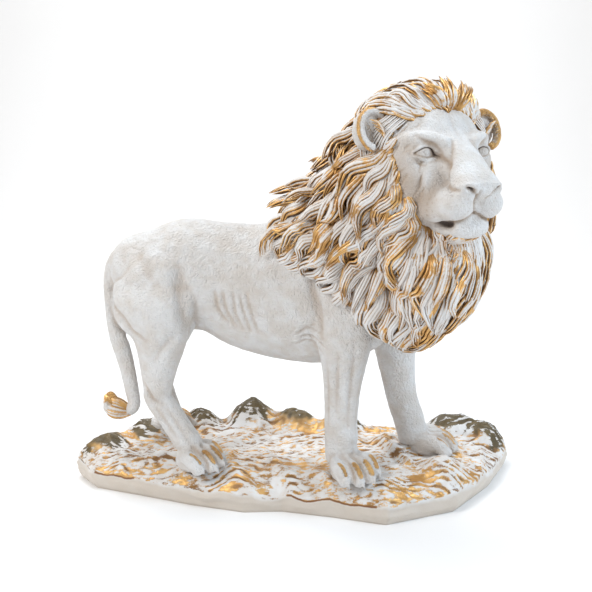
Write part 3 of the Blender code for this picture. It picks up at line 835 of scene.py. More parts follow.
def lion_head():
    """Skull, face and ears, with the eyes, nose and mouth carved in."""
    clay = Clay()
    head(clay)
    skin = Skin(fused(clay, "head", HEAD_VOXEL, HEAD_SMOOTHING))
    for side in (-1, 1):
        for path, width, depth, wash in EYE_LINES + FACE_LINES:
            skin.stroke([head_point(f, side * l, u) for f, l, u in path], width, depth, wash, ends=0.16)
        for f, l, u, wide, shade in CHEEK_SHADES:
            skin.dab(head_point(f, side * l, u), wide, 0.0, shade)
        eye_ball(skin, side)
        whisker_rows(skin, side)
        cheek_hair(skin, side)
        ear_lines(skin, side)
    skin.stroke([head_point(*p) for p in ((9, 0, 14), (16, 0, 8), (22, 0, 0), (29, 0, -6))], 2.2, 1.0, 0.1)
    lip = ((48.6, -3.4, -31), (46.3, -3.8, -34), (44.7, -3.4, -37), (42.5, -1.5, -41), (41.2, -0.3, -44))
    skin.stroke([head_point(*p) for p in lip], 1.0, 1.3, 0.5)
    skin.roughen(9.0, 0.3)
    skin.roughen(2.2, 0.1, 5.0)
    return skin.settle(0.3)


def eye_ball(skin, side):
    """The ring of the iris and the pit of the pupil on an eye."""
    f, l, u = np.array([22.4, side * 20.0, -10.8])
    turns = np.linspace(0, 2 * math.pi, 13)
    ring = [head_point(f + 0.4, l + 1.9 * math.cos(t), u + 1.9 * math.sin(t)) for t in turns]
    skin.stroke(ring, 0.45, 0.25, 0.35, ends=0.4)
    skin.dab(head_point(f + 1, l, u), 0.7, 0.3, 0.3)


def whisker_rows(skin, side):
    """Rows of small pits on the muzzle's pads."""
    for row in range(4):
        for k in range(5):
            spot = head_point(41 - 3.6 * k - row * 0.6, side * (9 + 2.6 * k), -34.5 - 2.6 * row - 0.5 * k)
            skin.dab(spot, 0.55, 0.35, 0.25)


def cheek_hair(skin, side):
    """Short combed lines on the cheeks, the jaw and the forehead."""
    rng = np.random.default_rng(HAIR_SEED)
    for _ in range(CHEEK_HAIRS):
        f, l, u = rng.uniform(-4, 22), rng.uniform(15, 36), rng.uniform(-52, 12)
        if u > -20 and f > 14:
            continue
        drop = rng.uniform(4, 9)
        middle = (f - 0.25 * drop, l + 0.22 * drop, u - drop * 0.5)
        end = (f - 0.5 * drop, l + 0.3 * drop, u - drop)
        path = [(f, l, u), middle, end]
        skin.stroke([head_point(a, side * b, c) for a, b, c in path], 0.6, rng.uniform(0.2, 0.5), 0.12)


def ear_lines(skin, side):
    """Hair inside the ear's cup with painted shade over the cup, and the gold along its rim."""
    skin.gild(list(ear_rim(side, -0.45, 1.1, 10, (9.8, 11.2))), 2.6 if side < 0 else 6.0, 0.8)
    skin.dab(head_point(-5, side * 40, 2), 8, 0.0, 0.4)
    for k in range(5):
        low, high = head_point(-2, side * (36 + k), -9 + k), head_point(-3, side * (38 + 1.8 * k), 3 + k)
        skin.stroke([low, (low + high) / 2 + HEAD_LEFT * side, high], 0.7, -0.7)
        skin.gild([low, high], 1.2, 0.5)


class Strands:
    """Lines for the hair, with a thickness, a way outwards and values for the paint at each point."""

    def __init__(self):
        self.lines = []

    def add(self, points, thickness, ups, tone, edge=0.0):
        self.lines.append((points, thickness, ups, tone, edge))

    def mesh(self, name):
        """One mesh of loose edges in metres, in the figurine's place."""
        points, thickness, ups = (np.concatenate(found) for found in list(zip(*self.lines))[:3])
        edges, start = [], 0
        counts = [len(line[0]) for line in self.lines]
        for count in counts:
            edges += [(start + k, start + k + 1) for k in range(count - 1)]
            start += count
        mesh = bpy.data.meshes.new(name)
        mesh.from_pydata(points.tolist(), edges, [])
        mesh.transform(LION_PLACE)
        turn = np.array(LION_PLACE.to_3x3().normalized())
        set_values(mesh, "thickness", thickness * U)
        set_values(mesh, "up", ups @ turn.T, "FLOAT_VECTOR", "vector")
        set_values(mesh, "along", np.concatenate([np.linspace(0, 1, count) for count in counts]))
        for column, label in ((3, "tone"), (4, "edge")):
            set_values(mesh, label, np.repeat([float(line[column]) for line in self.lines], counts))
        return mesh


def lock(strands, path, ups, width, count, rng, gold=0.5, arch=0.3):
    """A pointed lock: strands side by side, highest in the middle, that meet at the tip."""
    shares = np.linspace(0, 1, len(path))
    ways = np.gradient(path, axis=0)
    ways /= np.linalg.norm(ways, axis=1)[:, None]
    across = np.cross(ups, ways)
    spread = np.interp(shares, [0, 0.25, 0.5, 0.8, 1], [0.45, 0.9, 1.0, 0.55, 0.03]) * width / 2
    gold = np.clip(gold + 0.35 * rng.normal(), 0, 1)
    for k in range(count):
        at = (k - (count - 1) / 2) / max((count - 1) / 2, 1)
        wander = 0.16 * rng.normal() * np.sin(math.pi * shares * 2 + rng.random() * 6)
        rise = (1 - at * at) * width * arch + 0.7 * rng.random()
        rise = rise * np.sin(math.pi * np.clip(shares * 0.9, 0, 1))
        points = path + across * (spread * at + wander)[:, None] + ups * rise[:, None]
        cut = 1 - 0.22 * rng.random() * abs(at)
        points = points[0] + (points - points[0]) * (1 - (1 - cut) * shares[:, None])
        body = np.interp(shares, [0, 0.15, 0.5, 0.8, 1], [0.3, 0.9, 1.0, 0.65, 0.08])
        thick = width / count * (0.66 + 0.24 * rng.random()) * body
        strands.add(points, thick, ups, np.clip(gold + 0.2 * rng.normal(), 0, 1), abs(at))


def grow(tree, root, length, wave, curl, lift):
    """A lock's middle line over the mane, and the way out of the mane at each of its points."""
    shares = np.linspace(0, 1, LOCK_STEPS + 1)
    sink = np.interp(shares, [0, 0.12, 1], [-1.6, 0.5, 0.5])
    spot, path, ups = root, [], []
    for share, deep in zip(shares, sink):
        near, normal, _, _ = tree.find_nearest(Vector(spot))
        near, normal = np.array(near), np.array(normal)
        path.append(near + normal * (deep + lift * share**1.5))
        ups.append(normal)
        flow = hair_way(near)
        flow = unit(flow - np.dot(flow, normal) * normal)
        bend = wave * math.cos(share * 2.4 * math.pi) + curl * share**2
        flow = unit(flow + np.cross(normal, flow) * bend)
        spot = near + flow * length / LOCK_STEPS
    return np.array(path), np.array(ups)


def by_an_ear(path):
    """True where a lock would run over the cup of an ear."""
    cups = (head_point(1, side * 39.5, 1) for side in (-1, 1))
    return any(np.linalg.norm(path - cup, axis=1).min() < EAR_CLEAR for cup in cups)


def mane_strands(ground):
    """Locks all over the mane, sorted into the crown, the cape and the bib."""
    tree = surface_of(ground)
    rng = np.random.default_rng(LOCK_SEED)
    places = mesh_points(ground)
    zones = {"crown": Strands(), "cape": Strands(), "bib": Strands()}
    for layer, spacing in enumerate((LOCK_SPACING, LOCK_SPACING * 1.3, LOCK_SPACING * 0.6)):
        roots = np.empty((0, 3))
        for i in rng.permutation(len(places)):
            if on_mane(places[i]) and not np.any(np.linalg.norm(roots - places[i], axis=1) < spacing):
                roots = np.vstack([roots, places[i]])
        for root in roots:
            high = root[2] > HEAD_AT[2] + 4
            behind = np.clip((78 - root[0]) / 40, 0, 1) * np.clip((root[2] - 150) / 20, 0, 1)
            if root[2] < 150 - 0.55 * root[0] or layer == 2 and nape(root) < 0.3:
                continue
            low = np.clip((125 - root[2]) / 30, 0, 1)
            length = LOCK_LENGTH * (0.75 + 0.4 * rng.random()) * (0.8 if high else 1 - 0.35 * low)
            length *= 1 - 0.35 * behind
            lift = LOCK_LIFT * (0.4 + 0.8 * rng.random()) * (1 + layer % 2 * (0.6 + 1.9 * behind))
            lift *= 0.6 if high else 1
            spot = Vector(root / 34)
            wave = 0.8 * noise.noise(spot) + 0.4 + 0.2 * rng.normal()
            curl = 1.1 * noise.noise(spot + Vector((9, 4, 2))) + 0.25 * rng.normal()
            path, ups = grow(tree, root, length, wave, curl, lift)
            if by_an_ear(path):
                continue
            zone = "crown" if high else "cape" if root[0] < 66 else "bib"
            width = LOCK_WIDTH * (0.8 + 0.5 * rng.random()) * (0.75 if high else 1.1)
            count = FEW_STRANDS if high or root[1] > FAR_SIDE else LOCK_STRANDS
            lock(zones[zone], path, ups, width, count, rng, 0.5 if high or zone == "bib" else 0.45, 0.5)
    face_rows(zones["crown"], tree, rng)
    tuft_on_crown(zones["crown"], rng)
    fringe(zones["crown"], tree)
    ear_hair(zones["crown"])
    return zones


def face_rows(strands, tree, rng):
    """Fine white locks that start along the edge of the face and cover the roots of the mane."""
    edge = smooth_rows(FACE_EDGE, 6)
    for row, (outward, count) in enumerate(((-1.5, 60), (2.0, 52), (5.5, 44))):
        for side in (-1, 1):
            for k in range(count):
                at = (k + 0.5 * (row % 2) + 0.3 * rng.random()) / count * (len(edge) - 1)
                left, up = edge[int(at)] + (edge[min(int(at) + 1, len(edge) - 1)] - edge[int(at)]) * (at % 1)
                away = unit(np.array([left, up + 24]))
                left, up = left + away[0] * outward, up + away[1] * outward
                start = Vector(head_point(70, side * left, up))
                hit = tree.ray_cast(start, Vector(-HEAD_FORWARD))[0]
                if hit is None:
                    continue
                fine = 0.55 if up > -30 else 0.8
                length = LOCK_LENGTH * fine * (0.7 + 0.4 * rng.random())
                wave, curl = rng.normal() * 0.3, rng.normal() * 0.3
                path, ups = grow(tree, np.array(hit), length, wave, curl, 1.0 + 1.5 * rng.random() * row)
                if not by_an_ear(path):
                    lock(strands, path, ups, LOCK_WIDTH * 0.5, 3, rng, 0.1 + 0.12 * row, 0.15)


def fringe(strands, tree):
    """Smooth white hair that runs down along the edge of the face, in front of the ear."""
    edge = smooth_rows(FACE_EDGE[3:11], 5)
    for side in (-1, 1):
        for k in range(FRINGE_STRANDS):
            points, ups = [], []
            for share, (left, up) in zip(np.linspace(0, 1, len(edge)), edge):
                away = unit(np.array([left, up + 24])) * (0.6 + k * FRINGE_GAP * (0.75 + 0.25 * share))
                start = Vector(head_point(70, side * (left + away[0]), up + away[1]))
                hit, normal, _, _ = tree.ray_cast(start, Vector(-HEAD_FORWARD))
                if hit is not None:
                    rise = 1.6 * math.sin(math.pi * (0.1 + 0.8 * share)) - 0.4 + 0.5 * (k % 2)
                    points.append(np.array(hit) + np.array(normal) * rise)
                    ups.append(np.array(normal))
            if len(points) > 4:
                shares = np.linspace(0, 1, len(points))
                thick = np.interp(shares, [0, 0.2, 0.7, 1], [0.4, 1.0, 1.0, 0.15]) * FRINGE_GAP * 0.62
                strands.add(np.array(points), thick, ups, 0.05, 0.1)


def ear_hair(strands):
    """Dark and gold hair that sweeps up out of the ear's cup."""
    rng = np.random.default_rng(HAIR_SEED)
    for side in (-1, 1):
        for k in range(12):
            low = np.array([1.5 + rng.random(), 31.5 + 0.5 * k, -9 + 0.9 * k])
            high = np.array([2 + rng.random(), 40 + 0.45 * k, 1.5 + 0.55 * k - 0.4 * (k % 3)])
            bow = (low + high) / 2 + (1.6, -0.5 + 1.5 * rng.normal() * 0.4, 1.5)
            path = np.array([head_point(f, side * l, u) for f, l, u in smooth_rows([low, bow, high], 4)])
            thick = np.interp(np.linspace(0, 1, len(path)), [0, 0.5, 1], [0.7, 0.8, 0.1])
            strands.add(path, thick, [HEAD_FORWARD] * len(path), 0.8, 0.6)


def tuft_on_crown(strands, rng):
    """The tuft that stands up from the middle of the hairline and opens like a fan."""
    for _ in range(CROWN_TUFT_LOCKS):
        fan = rng.uniform(-1, 1)
        reach = (15 + 5 * rng.random()) * (1 - 0.25 * abs(fan))
        start = np.array([10 - 4 * rng.random(), 3 + 6 * fan, 10.5])
        rows = [
            start,
            start + (3.0, 2.5 * fan, reach * 0.4),
            start + (1.5, 8 * fan, reach * 0.8),
            start + (-3 - 3 * rng.random(), 14 * fan, reach * (1.05 + 0.1 * rng.random())),
        ]
        path = np.array([head_point(*row) for row in smooth_rows(rows, 3)])
        ups = np.array([unit(HEAD_FORWARD + HEAD_LEFT * 0.5 * fan)] * len(path))
        lock(strands, path, ups, 4.5, 3, rng, 1.2, 0.2)


def tuft_strands():
    """The tail's tuft, curled back behind the hock."""
    strands, rng = Strands(), np.random.default_rng(HAIR_SEED)
    for turn in np.linspace(0, 2 * math.pi, TUFT_STRANDS, endpoint=False):
        swing, lift = 4.4 * math.cos(turn) + 0.5 * rng.normal(), 5.2 * math.sin(turn) + 0.5 * rng.normal()
        rows = [
            (-104, -11 + swing * 0.4, 31 + lift * 0.4),
            (-110, -11 + swing * 1.2, 32 + lift),
            (-117, -11 + swing * 1.4, 34 + lift * 1.1),
            (-121, -11 + swing * 0.7, 38 + lift * 0.8),
        ]
        path = smooth_rows(rows, 3)
        ups = np.array([unit(p - (-113, -11, 37)) for p in path])
        thick = np.interp(np.linspace(0, 1, len(path)), [0, 0.5, 1], [1.1, 1.7, 0.8])
        strands.add(path, thick, ups, rng.uniform(0.1, 1.0), rng.random())
    return strands


def strand_tree():
    """Tubes along the lines, with crown at each point: how far it faces the way its hair lies outwards."""
    tree = bpy.data.node_groups.new("strands", "GeometryNodeTree")
    inputs = (("Lines", "Geometry"), ("Thickness", "Float"), ("Sides", "Int"), ("Paint", "Material"))
    for label, kind in inputs:
        tree.interface.new_socket(label, in_out="INPUT", socket_type="NodeSocket" + kind)
    tree.interface.new_socket("Tubes", in_out="OUTPUT", socket_type="NodeSocketGeometry")
    given, done = tree.nodes.new("NodeGroupInput").outputs, tree.nodes.new("NodeGroupOutput").inputs

    def added(kind, output, settings=None, **inputs):
        return node(tree, "GeometryNode" + kind, settings, **inputs).outputs[output]

    curve = added("MeshToCurve", "Curve", Mesh=given["Lines"])
    ring = added("CurvePrimitiveCircle", "Curve", Resolution=given["Sides"], Radius=given["Thickness"])
    thickness = added("InputNamedAttribute", "Attribute", Name="thickness")
    tube = added("CurveToMesh", "Mesh", Curve=curve, Profile_Curve=ring, Scale=thickness, Fill_Caps=True)
    up = added("InputNamedAttribute", "Attribute", {"data_type": "FLOAT_VECTOR"}, Name="up")
    normal = added("InputNormal", "Normal")
    facing = node(tree, "ShaderNodeVectorMath", {"operation": "DOT_PRODUCT"}, _0=up, _1=normal)
    facing = facing.outputs["Value"]
    point = {"data_type": "FLOAT", "domain": "POINT"}
    crown = added("StoreNamedAttribute", "Geometry", point, Geometry=tube, Name="crown", Value=facing)
    painted_tubes = added("SetMaterial", "Geometry", Geometry=crown, Material=given["Paint"])
    tree.links.new(added("RealizeInstances", "Geometry", Geometry=painted_tubes), done["Tubes"])
    return tree


def tubes(name, strands, tree, paint, sides):
    """The strands as one plain mesh of closed tubes."""
    rough = bpy.data.objects.new("rough", strands.mesh(name))
    bpy.context.scene.collection.objects.link(rough)
    growing = rough.modifiers.new("Grow", "NODES")
    growing.node_group = tree
    sockets = {s.name: s.identifier for s in tree.interface.items_tree if s.in_out == "INPUT"}
    for label, value in (("Thickness", 1.0), ("Sides", sides), ("Paint", paint)):
        growing[sockets[label]] = value
    graph = bpy.context.evaluated_depsgraph_get()
    made = bpy.data.meshes.new_from_object(rough.evaluated_get(graph))
    rough.modifiers.remove(growing)
    bpy.data.objects.remove(rough)
    made.polygons.foreach_set("use_smooth", [True] * len(made.polygons))
    made.update()
    return made


FACE_EDGE = [  # left, up in the head's directions, from the hairline's middle down to the beard
    (0, 14.5), (6, 14), (13, 11.5), (19.5, 8.3), (26.8, 2.7), (32.6, -3.1), (34, -9.9), (34.1, -19.8),
    (33.8, -31.1), (30, -40.4), (24.2, -48.5), (18, -53), (11, -56.5), (5, -58.5), (0, -59),
]


GOLD_SPOTS = [  # x, y, radius of the places where the leaf shows most, in metres
    (-0.074, -0.040, 0.008), (-0.048, -0.050, 0.007), (-0.021, -0.050, 0.007), (-0.010, -0.046, 0.0035),
    (-0.043, 0.062, 0.006), (-0.116, 0.018, 0.006), (-0.092, -0.028, 0.006), (0.010, 0.062, 0.009),
    (0.012, 0.036, 0.010), (-0.005, -0.022, 0.008), (0.060, 0.034, 0.012), (0.068, -0.062, 0.009),
    (0.084, -0.048, 0.008), (0.092, -0.056, 0.006), (0.118, -0.034, 0.008), (0.104, -0.012, 0.008),
]
RUST_SPANS = [(-0.136, -0.108), (-0.006, 0.05)]  # where a rust line runs along the front band's top
VALLEY = (-0.012, -0.042, 0.006, 0.0022)  # the front groove's x, the y it starts at, half-width and depth
RIDGE = ((0.062, 0.004), (0.075, -0.030), 0.005, 0.0045)  # two ends, half-width and height of the small ridge


def ridged(x, y, z, rough, gap, octaves):
    return noise.ridged_multi_fractal(Vector((x, y, z)), rough, gap, octaves, 1.0, 2.0) - 1.0


def rock_relief(x, y):
    """Folded beds and grains on the slab's own form, in metres, and how high each place stands in them."""
    warp = noise.fractal(Vector((x / 0.05, y / 0.035, 7.0)), 1.0, 2.0, 3)
    phase = y / ROCK_FOLD + 3.4 * warp
    fold = 1 - abs(2 * (phase % 1.0) - 1)
    strong = min(1.0, max(0.0, 0.55 + 1.3 * noise.noise(Vector((x / 0.03, y / 0.022, 4.0)))))
    drawn = y + 0.006 * warp
    bed = ridged(x / 0.03, drawn / 0.013, 2.0, 0.8, 2.1, 3)
    grain = ridged(x / 0.007, drawn / 0.0034, 6.0, 0.9, 2.0, 2)
    clear = valley_share(x, y)
    height = ROCK_BED * bed + (ROCK_FOLDING * (fold - 0.5) * strong + ROCK_FINE * grain) * (1 - clear)
    near, far, half, rise = RIDGE
    along = np.array(far) - near
    share = np.clip(np.dot((x - near[0], y - near[1]), along) / np.dot(along, along), 0, 1)
    away = math.hypot(x - near[0] - share * along[0], y - near[1] - share * along[1]) / half
    height += rise * max(0.0, 1 - away) - VALLEY[3] * clear
    return height, ((fold * 2 - 1) * strong * 0.75 + 0.25 * bed + 0.35 * grain) * (1 - clear) + 0.8 * clear


def valley_share(x, y):
    """How far a place is in the smooth groove at the front."""
    off = (x - VALLEY[0] + 0.1 * (y - VALLEY[1])) / VALLEY[2]
    return max(0.0, 1 - off**2) * min(1.0, max(0.0, (VALLEY[1] - y) / 0.008))


def gold_share(x, y):
    """How much of the leaf shows at a place."""
    return max(math.exp(-(((x - px) ** 2 + 2.5 * (y - py) ** 2) / r**2)) for px, py, r in GOLD_SPOTS)


def rock_grid():
    """Places over the slab's outline in even rows, and their numbers."""
    corners = np.array(ROCK_OUTLINE) * (ROCK_LENGTH / 2, ROCK_DEPTH / 2)
    left, right = corners[:, 0].argmin(), corners[:, 0].argmax()
    back = np.roll(corners, -right, axis=0)[: (left - right) % len(corners) + 1][::-1]
    front = np.roll(corners, -left, axis=0)[: (right - left) % len(corners) + 1]
    columns = corners[left, 0] + (corners[right, 0] - corners[left, 0]) * spaced_shares(ROCK_COLUMNS)
    low, high = np.interp(columns, front[:, 0], front[:, 1]), np.interp(columns, back[:, 0], back[:, 1])
    shares = np.linspace(0, 1, ROCK_ROWS)
    grid = np.empty((ROCK_COLUMNS, ROCK_ROWS, 2))
    grid[..., 0] = columns[:, None]
    grid[..., 1] = low[:, None] * (1 - shares) + high[:, None] * shares
    return grid.reshape(-1, 2), np.arange(ROCK_COLUMNS * ROCK_ROWS).reshape(ROCK_COLUMNS, ROCK_ROWS)


def side_place(x, y, z, share):
    """A place that share of the way down the chipped side below a place on the edge, and its paint values."""
    chip = noise.noise(Vector((x / 0.012, y / 0.012, share * 1.4)))
    ledge = noise.noise(Vector((x / 0.03, y / 0.03, share * 5 + 9)))
    swell = 1 + 0.012 * math.sin(math.pi * share) - 0.014 * share**3
    drift = (ROCK_SIDE_CHIP * chip + ROCK_SIDE_CHIP * ledge) * math.sin(math.pi * min(share * 1.1, 1))
    out = unit(np.array([x, y * 2]))
    ragged = 0.35 * noise.noise(Vector((x / 0.014, y / 0.014, 3.0)))
    dark = 0.6 * max(0.0, 1 - share * 2) if x < ROCK_DARK_END else 0.0
    rust = 1.0 if y < 0 and any(low < x < high for low, high in RUST_SPANS) else 0.0
    place = (x * swell + out[0] * drift, y * swell + out[1] * drift, z * (1 - share))
    return place, (0.7 * chip, min(1.0, max(0.0, share * 2.2 + ragged)), dark, 0.0, rust)


def rock_base():
    """The slab as a fine grid over its outline, with a chipped side band and a flat underside."""
    spots, index = rock_grid()
    border = [*index[:, 0], *index[-1, 1:], *index[-2::-1, -1], *index[0, -2:0:-1]]
    rim = KDTree(len(border))
    for k, i in enumerate(border):
        rim.insert((*spots[i], 0), k)
    rim.balance()
    points, values = [], []
    for x, y in spots:
        edge = rim.find((x, y, 0))[2]
        relief, crest = rock_relief(x, y)
        points.append((x, y, rock_height(x, y, edge) + relief * min(1.0, 0.3 + edge / 0.006)))
        values.append((crest, 0.0, far_rim(x, y), gold_share(x, y), 0.0))
    faces = []
    for i in range(ROCK_COLUMNS - 1):
        for j in range(ROCK_ROWS - 1):
            faces.append((index[i, j], index[i + 1, j], index[i + 1, j + 1], index[i, j + 1]))
    top = list(border)
    for share in np.linspace(0, 1, ROCK_BANDS + 1)[1:]:
        ring = list(range(len(points), len(points) + len(border)))
        for i in border:
            place, paint = side_place(*points[i], share)
            points.append(place)
            values.append(paint)
        for n in range(len(ring)):
            m = (n + 1) % len(ring)
            faces.append((top[m], top[n], ring[n], ring[m]))
        top = ring
    faces.append(tuple(top[::-1]))
    made = bpy.data.meshes.new("rock")
    made.from_pydata([tuple(p) for p in points], [], [tuple(int(i) for i in face) for face in faces])
    for name, column in zip(ROCK_VALUES, np.array(values).T):
        set_values(made, name, column)
    return made


def far_rim(x, y):
    """How far a place is up the broken lumps along the slab's far rim and its left end."""
    return max(0.0, *(peak_share(x, y, peak) for peak in ROCK_PEAKS[:FAR_PEAKS]))


def spaced_shares(count):
    """Shares from 0 to 1 that lie closer together at both ends."""
    even = np.linspace(0, 1, count)
    return even - 0.1 * np.sin(2 * math.pi * even) / (2 * math.pi) * 3


def node(tree, kind, settings=None, **inputs):
    """A node with its settings and inputs. Inputs go by name or number: values, or other nodes' outputs."""
    made = tree.nodes.new(kind)
    for name, value in (settings or {}).items():
        setattr(made, name, value)
    for name, value in inputs.items():
        socket = made.inputs[int(name[1:])] if name[0] == "_" else made.inputs[name.replace("_", " ")]
        if isinstance(value, bpy.types.NodeSocket):
            tree.links.new(value, socket)
        else:
            socket.default_value = value
    return made


class PaintNodes:
    """A paint's nodes, with a short way to add each kind and the place that its textures follow."""

    def __init__(self, tree, place):
        self.tree, self.place = tree, place

    def math(self, operation, a, b, clamp=False, **more):
        settings = {"operation": operation, "use_clamp": clamp}
        return node(self.tree, "ShaderNodeMath", settings, _0=a, _1=b, **more).outputs[0]

    def plus(self, a, b):
        return self.math("ADD", a, b)

    def minus(self, a, b):
        return self.math("SUBTRACT", a, b)

    def times(self, a, b, clamp=False):
        return self.math("MULTIPLY", a, b, clamp)

    def blend(self, share, a, b):
        """A colour between a and b."""
        return node(self.tree, "ShaderNodeMix", {"data_type": "RGBA"}, _0=share, _6=a, _7=b).outputs[2]

    def ramp(self, value, low, high, to_low=0.0, to_high=1.0):
        settings = {"interpolation_type": "SMOOTHSTEP"}
        spans = {"_1": low, "_2": high, "_3": to_low, "_4": to_high}
        return node(self.tree, "ShaderNodeMapRange", settings, _0=value, **spans).outputs[0]

    def speckle(self, scale, detail=3.0, rough=0.55, stretch=(1.0, 1.0, 1.0)):
        """Noise of that fineness, drawn out along the ways where stretch is below one."""
        place = self.place
        if stretch != (1.0, 1.0, 1.0):
            place = node(self.tree, "ShaderNodeMapping", Vector=place, Scale=stretch).outputs[0]
        spots = {"Scale": scale, "Detail": detail, "Roughness": rough}
        return node(self.tree, "ShaderNodeTexNoise", Vector=place, **spots).outputs[0]

    def values(self, *names):
        """What the skins, strands and rock store at each point under these names."""
        for name in names:
            yield node(self.tree, "ShaderNodeAttribute", {"attribute_name": name}).outputs["Fac"]

    def brushed(self, group, cover, stain):
        """The outputs of the shared group at this cover and stain. On the hair the stain is painted shade."""
        given = {"Place": self.place, "Cover": cover, "Stain": stain}
        return node(self.tree, "ShaderNodeGroup", {"node_tree": group}, **given).outputs

    def feed(self, sockets, **sources):
        for name, source in sources.items():
            self.tree.links.new(source, sockets[name.replace("_", " ")])

    def bump(self, height, strength, distance):
        given = {"Strength": strength, "Distance": distance, "Height": height}
        return node(self.tree, "ShaderNodeBump", **given).outputs[0]


GROUP_SOCKETS = [
    ("INPUT", "Place", "Vector"),
    ("INPUT", "Cover", "Float"),
    ("INPUT", "Stain", "Float"),
    ("OUTPUT", "Color", "Color"),
    ("OUTPUT", "Metallic", "Float"),
    ("OUTPUT", "Roughness", "Float"),
    ("OUTPUT", "Height", "Float"),
]


def brushed_group():
    """White brushed over gold leaf: cover is how much of the white is left at a place. Shade and stain brown
    the leaf and take away some of its shine.
    """
    tree = bpy.data.node_groups.new("white_over_gold", "ShaderNodeTree")
    for way, label, kind in GROUP_SOCKETS:
        tree.interface.new_socket(label, in_out=way, socket_type="NodeSocket" + kind)
    given, done = tree.nodes.new("NodeGroupInput").outputs, tree.nodes.new("NodeGroupOutput").inputs
    nodes = PaintNodes(tree, given["Place"])
    fine, broad = nodes.speckle(900.0), nodes.speckle(90.0, 2.0)
    cover = nodes.plus(given["Cover"], nodes.minus(nodes.times(fine, 0.5), 0.25))
    white = nodes.ramp(cover, 0.34, 0.62)
    leaf = nodes.blend(nodes.ramp(broad, 0.35, 0.65), GOLD_DEEP, GOLD_BRIGHT)
    leaf = nodes.blend(nodes.ramp(given["Stain"], 0.2, 1.0), leaf, GOLD_BROWN)
    paint = nodes.blend(nodes.ramp(broad, 0.3, 0.7), WHITE_WARM, WHITE_COOL)
    shine = nodes.ramp(given["Stain"], 0.2, 1.0, 1.0, 0.35)
    metal = nodes.times(nodes.ramp(white, 0.0, 1.0, 0.65, 0.0), shine)
    nodes.feed(done, Color=nodes.blend(white, leaf, paint), Metallic=metal)
    nodes.feed(done, Roughness=nodes.ramp(white, 0.0, 1.0, 0.36, 0.62), Height=nodes.plus(white, fine))
    return tree


def painted(name):
    """A material, its nodes over each point's place on the figurine, and its shader's inputs."""
    paint = bpy.data.materials.new(name)
    paint.use_nodes = True
    tree = paint.node_tree
    place = tree.nodes.new("ShaderNodeTexCoord").outputs["Object"]
    return paint, PaintNodes(tree, place), tree.nodes["Principled BSDF"].inputs


def fur_paint(group):
    """Matt white over short fur, with painted beige shade in the folds and hollows and painted dark shadow in
    the deepest of them, with gold where the mask asks for it.
    """
    paint, nodes, shader = painted("white_fur")
    wash, gold, deep, fur = nodes.values("wash", "gold", "deep", "fur")
    mixed = nodes.brushed(group, nodes.minus(1.0, nodes.times(gold, 0.9)), 0.0)
    # painted shade: the fur darkened towards beige brown in its grooves and hollows
    tint = nodes.blend(nodes.times(wash, 0.75, True), mixed["Color"], SHADE_BROWN)
    # painted shadow: near black in the nostrils, the mouth's gap and the upper lid lines
    tint = nodes.blend(nodes.ramp(deep, 0.35, 0.85), tint, SHADOW_DARK)
    combed = (0.6, 1.0, 0.45)
    hair = nodes.plus(nodes.speckle(420.0, 3.0, 0.65, combed), nodes.speckle(1000.0, 2.0, 0.55, combed))
    height = nodes.plus(nodes.times(hair, fur), mixed["Height"])
    nodes.feed(shader, Base_Color=tint, Metallic=mixed["Metallic"], Roughness=mixed["Roughness"])
    nodes.feed(shader, Normal=nodes.bump(height, 0.8, 0.0018))
    return paint


def hair_paint(group, name, white_share):
    """White on the ridges of the hair, and brown and gold between and beside them. The brown is painted
    shade, where the strands face into the mane.
    """
    paint, nodes, shader = painted(name)
    crown, tone, along, edge = nodes.values("crown", "tone", "along", "edge")
    cover = nodes.math("MULTIPLY_ADD", crown, 0.6, _2=white_share)
    worn = nodes.times(nodes.ramp(nodes.speckle(110.0, 2.0), 0.5, 0.7), nodes.times(tone, 0.42))
    tip = nodes.times(nodes.ramp(along, 0.6, 1.0), nodes.times(tone, 0.35))
    rich = nodes.times(nodes.math("POWER", tone, 2.0), 0.2)
    for less in (nodes.times(edge, 0.22), worn, tip, rich):
        cover = nodes.minus(cover, less)
    # strands are browned as painted shade where they face into the mane
    mixed = nodes.brushed(group, cover, nodes.ramp(crown, 0.55, -0.2))
    nodes.feed(shader, Base_Color=mixed["Color"], Metallic=mixed["Metallic"], Roughness=mixed["Roughness"])
    nodes.feed(shader, Normal=nodes.bump(mixed["Height"], 0.3, 0.0004))
    return paint


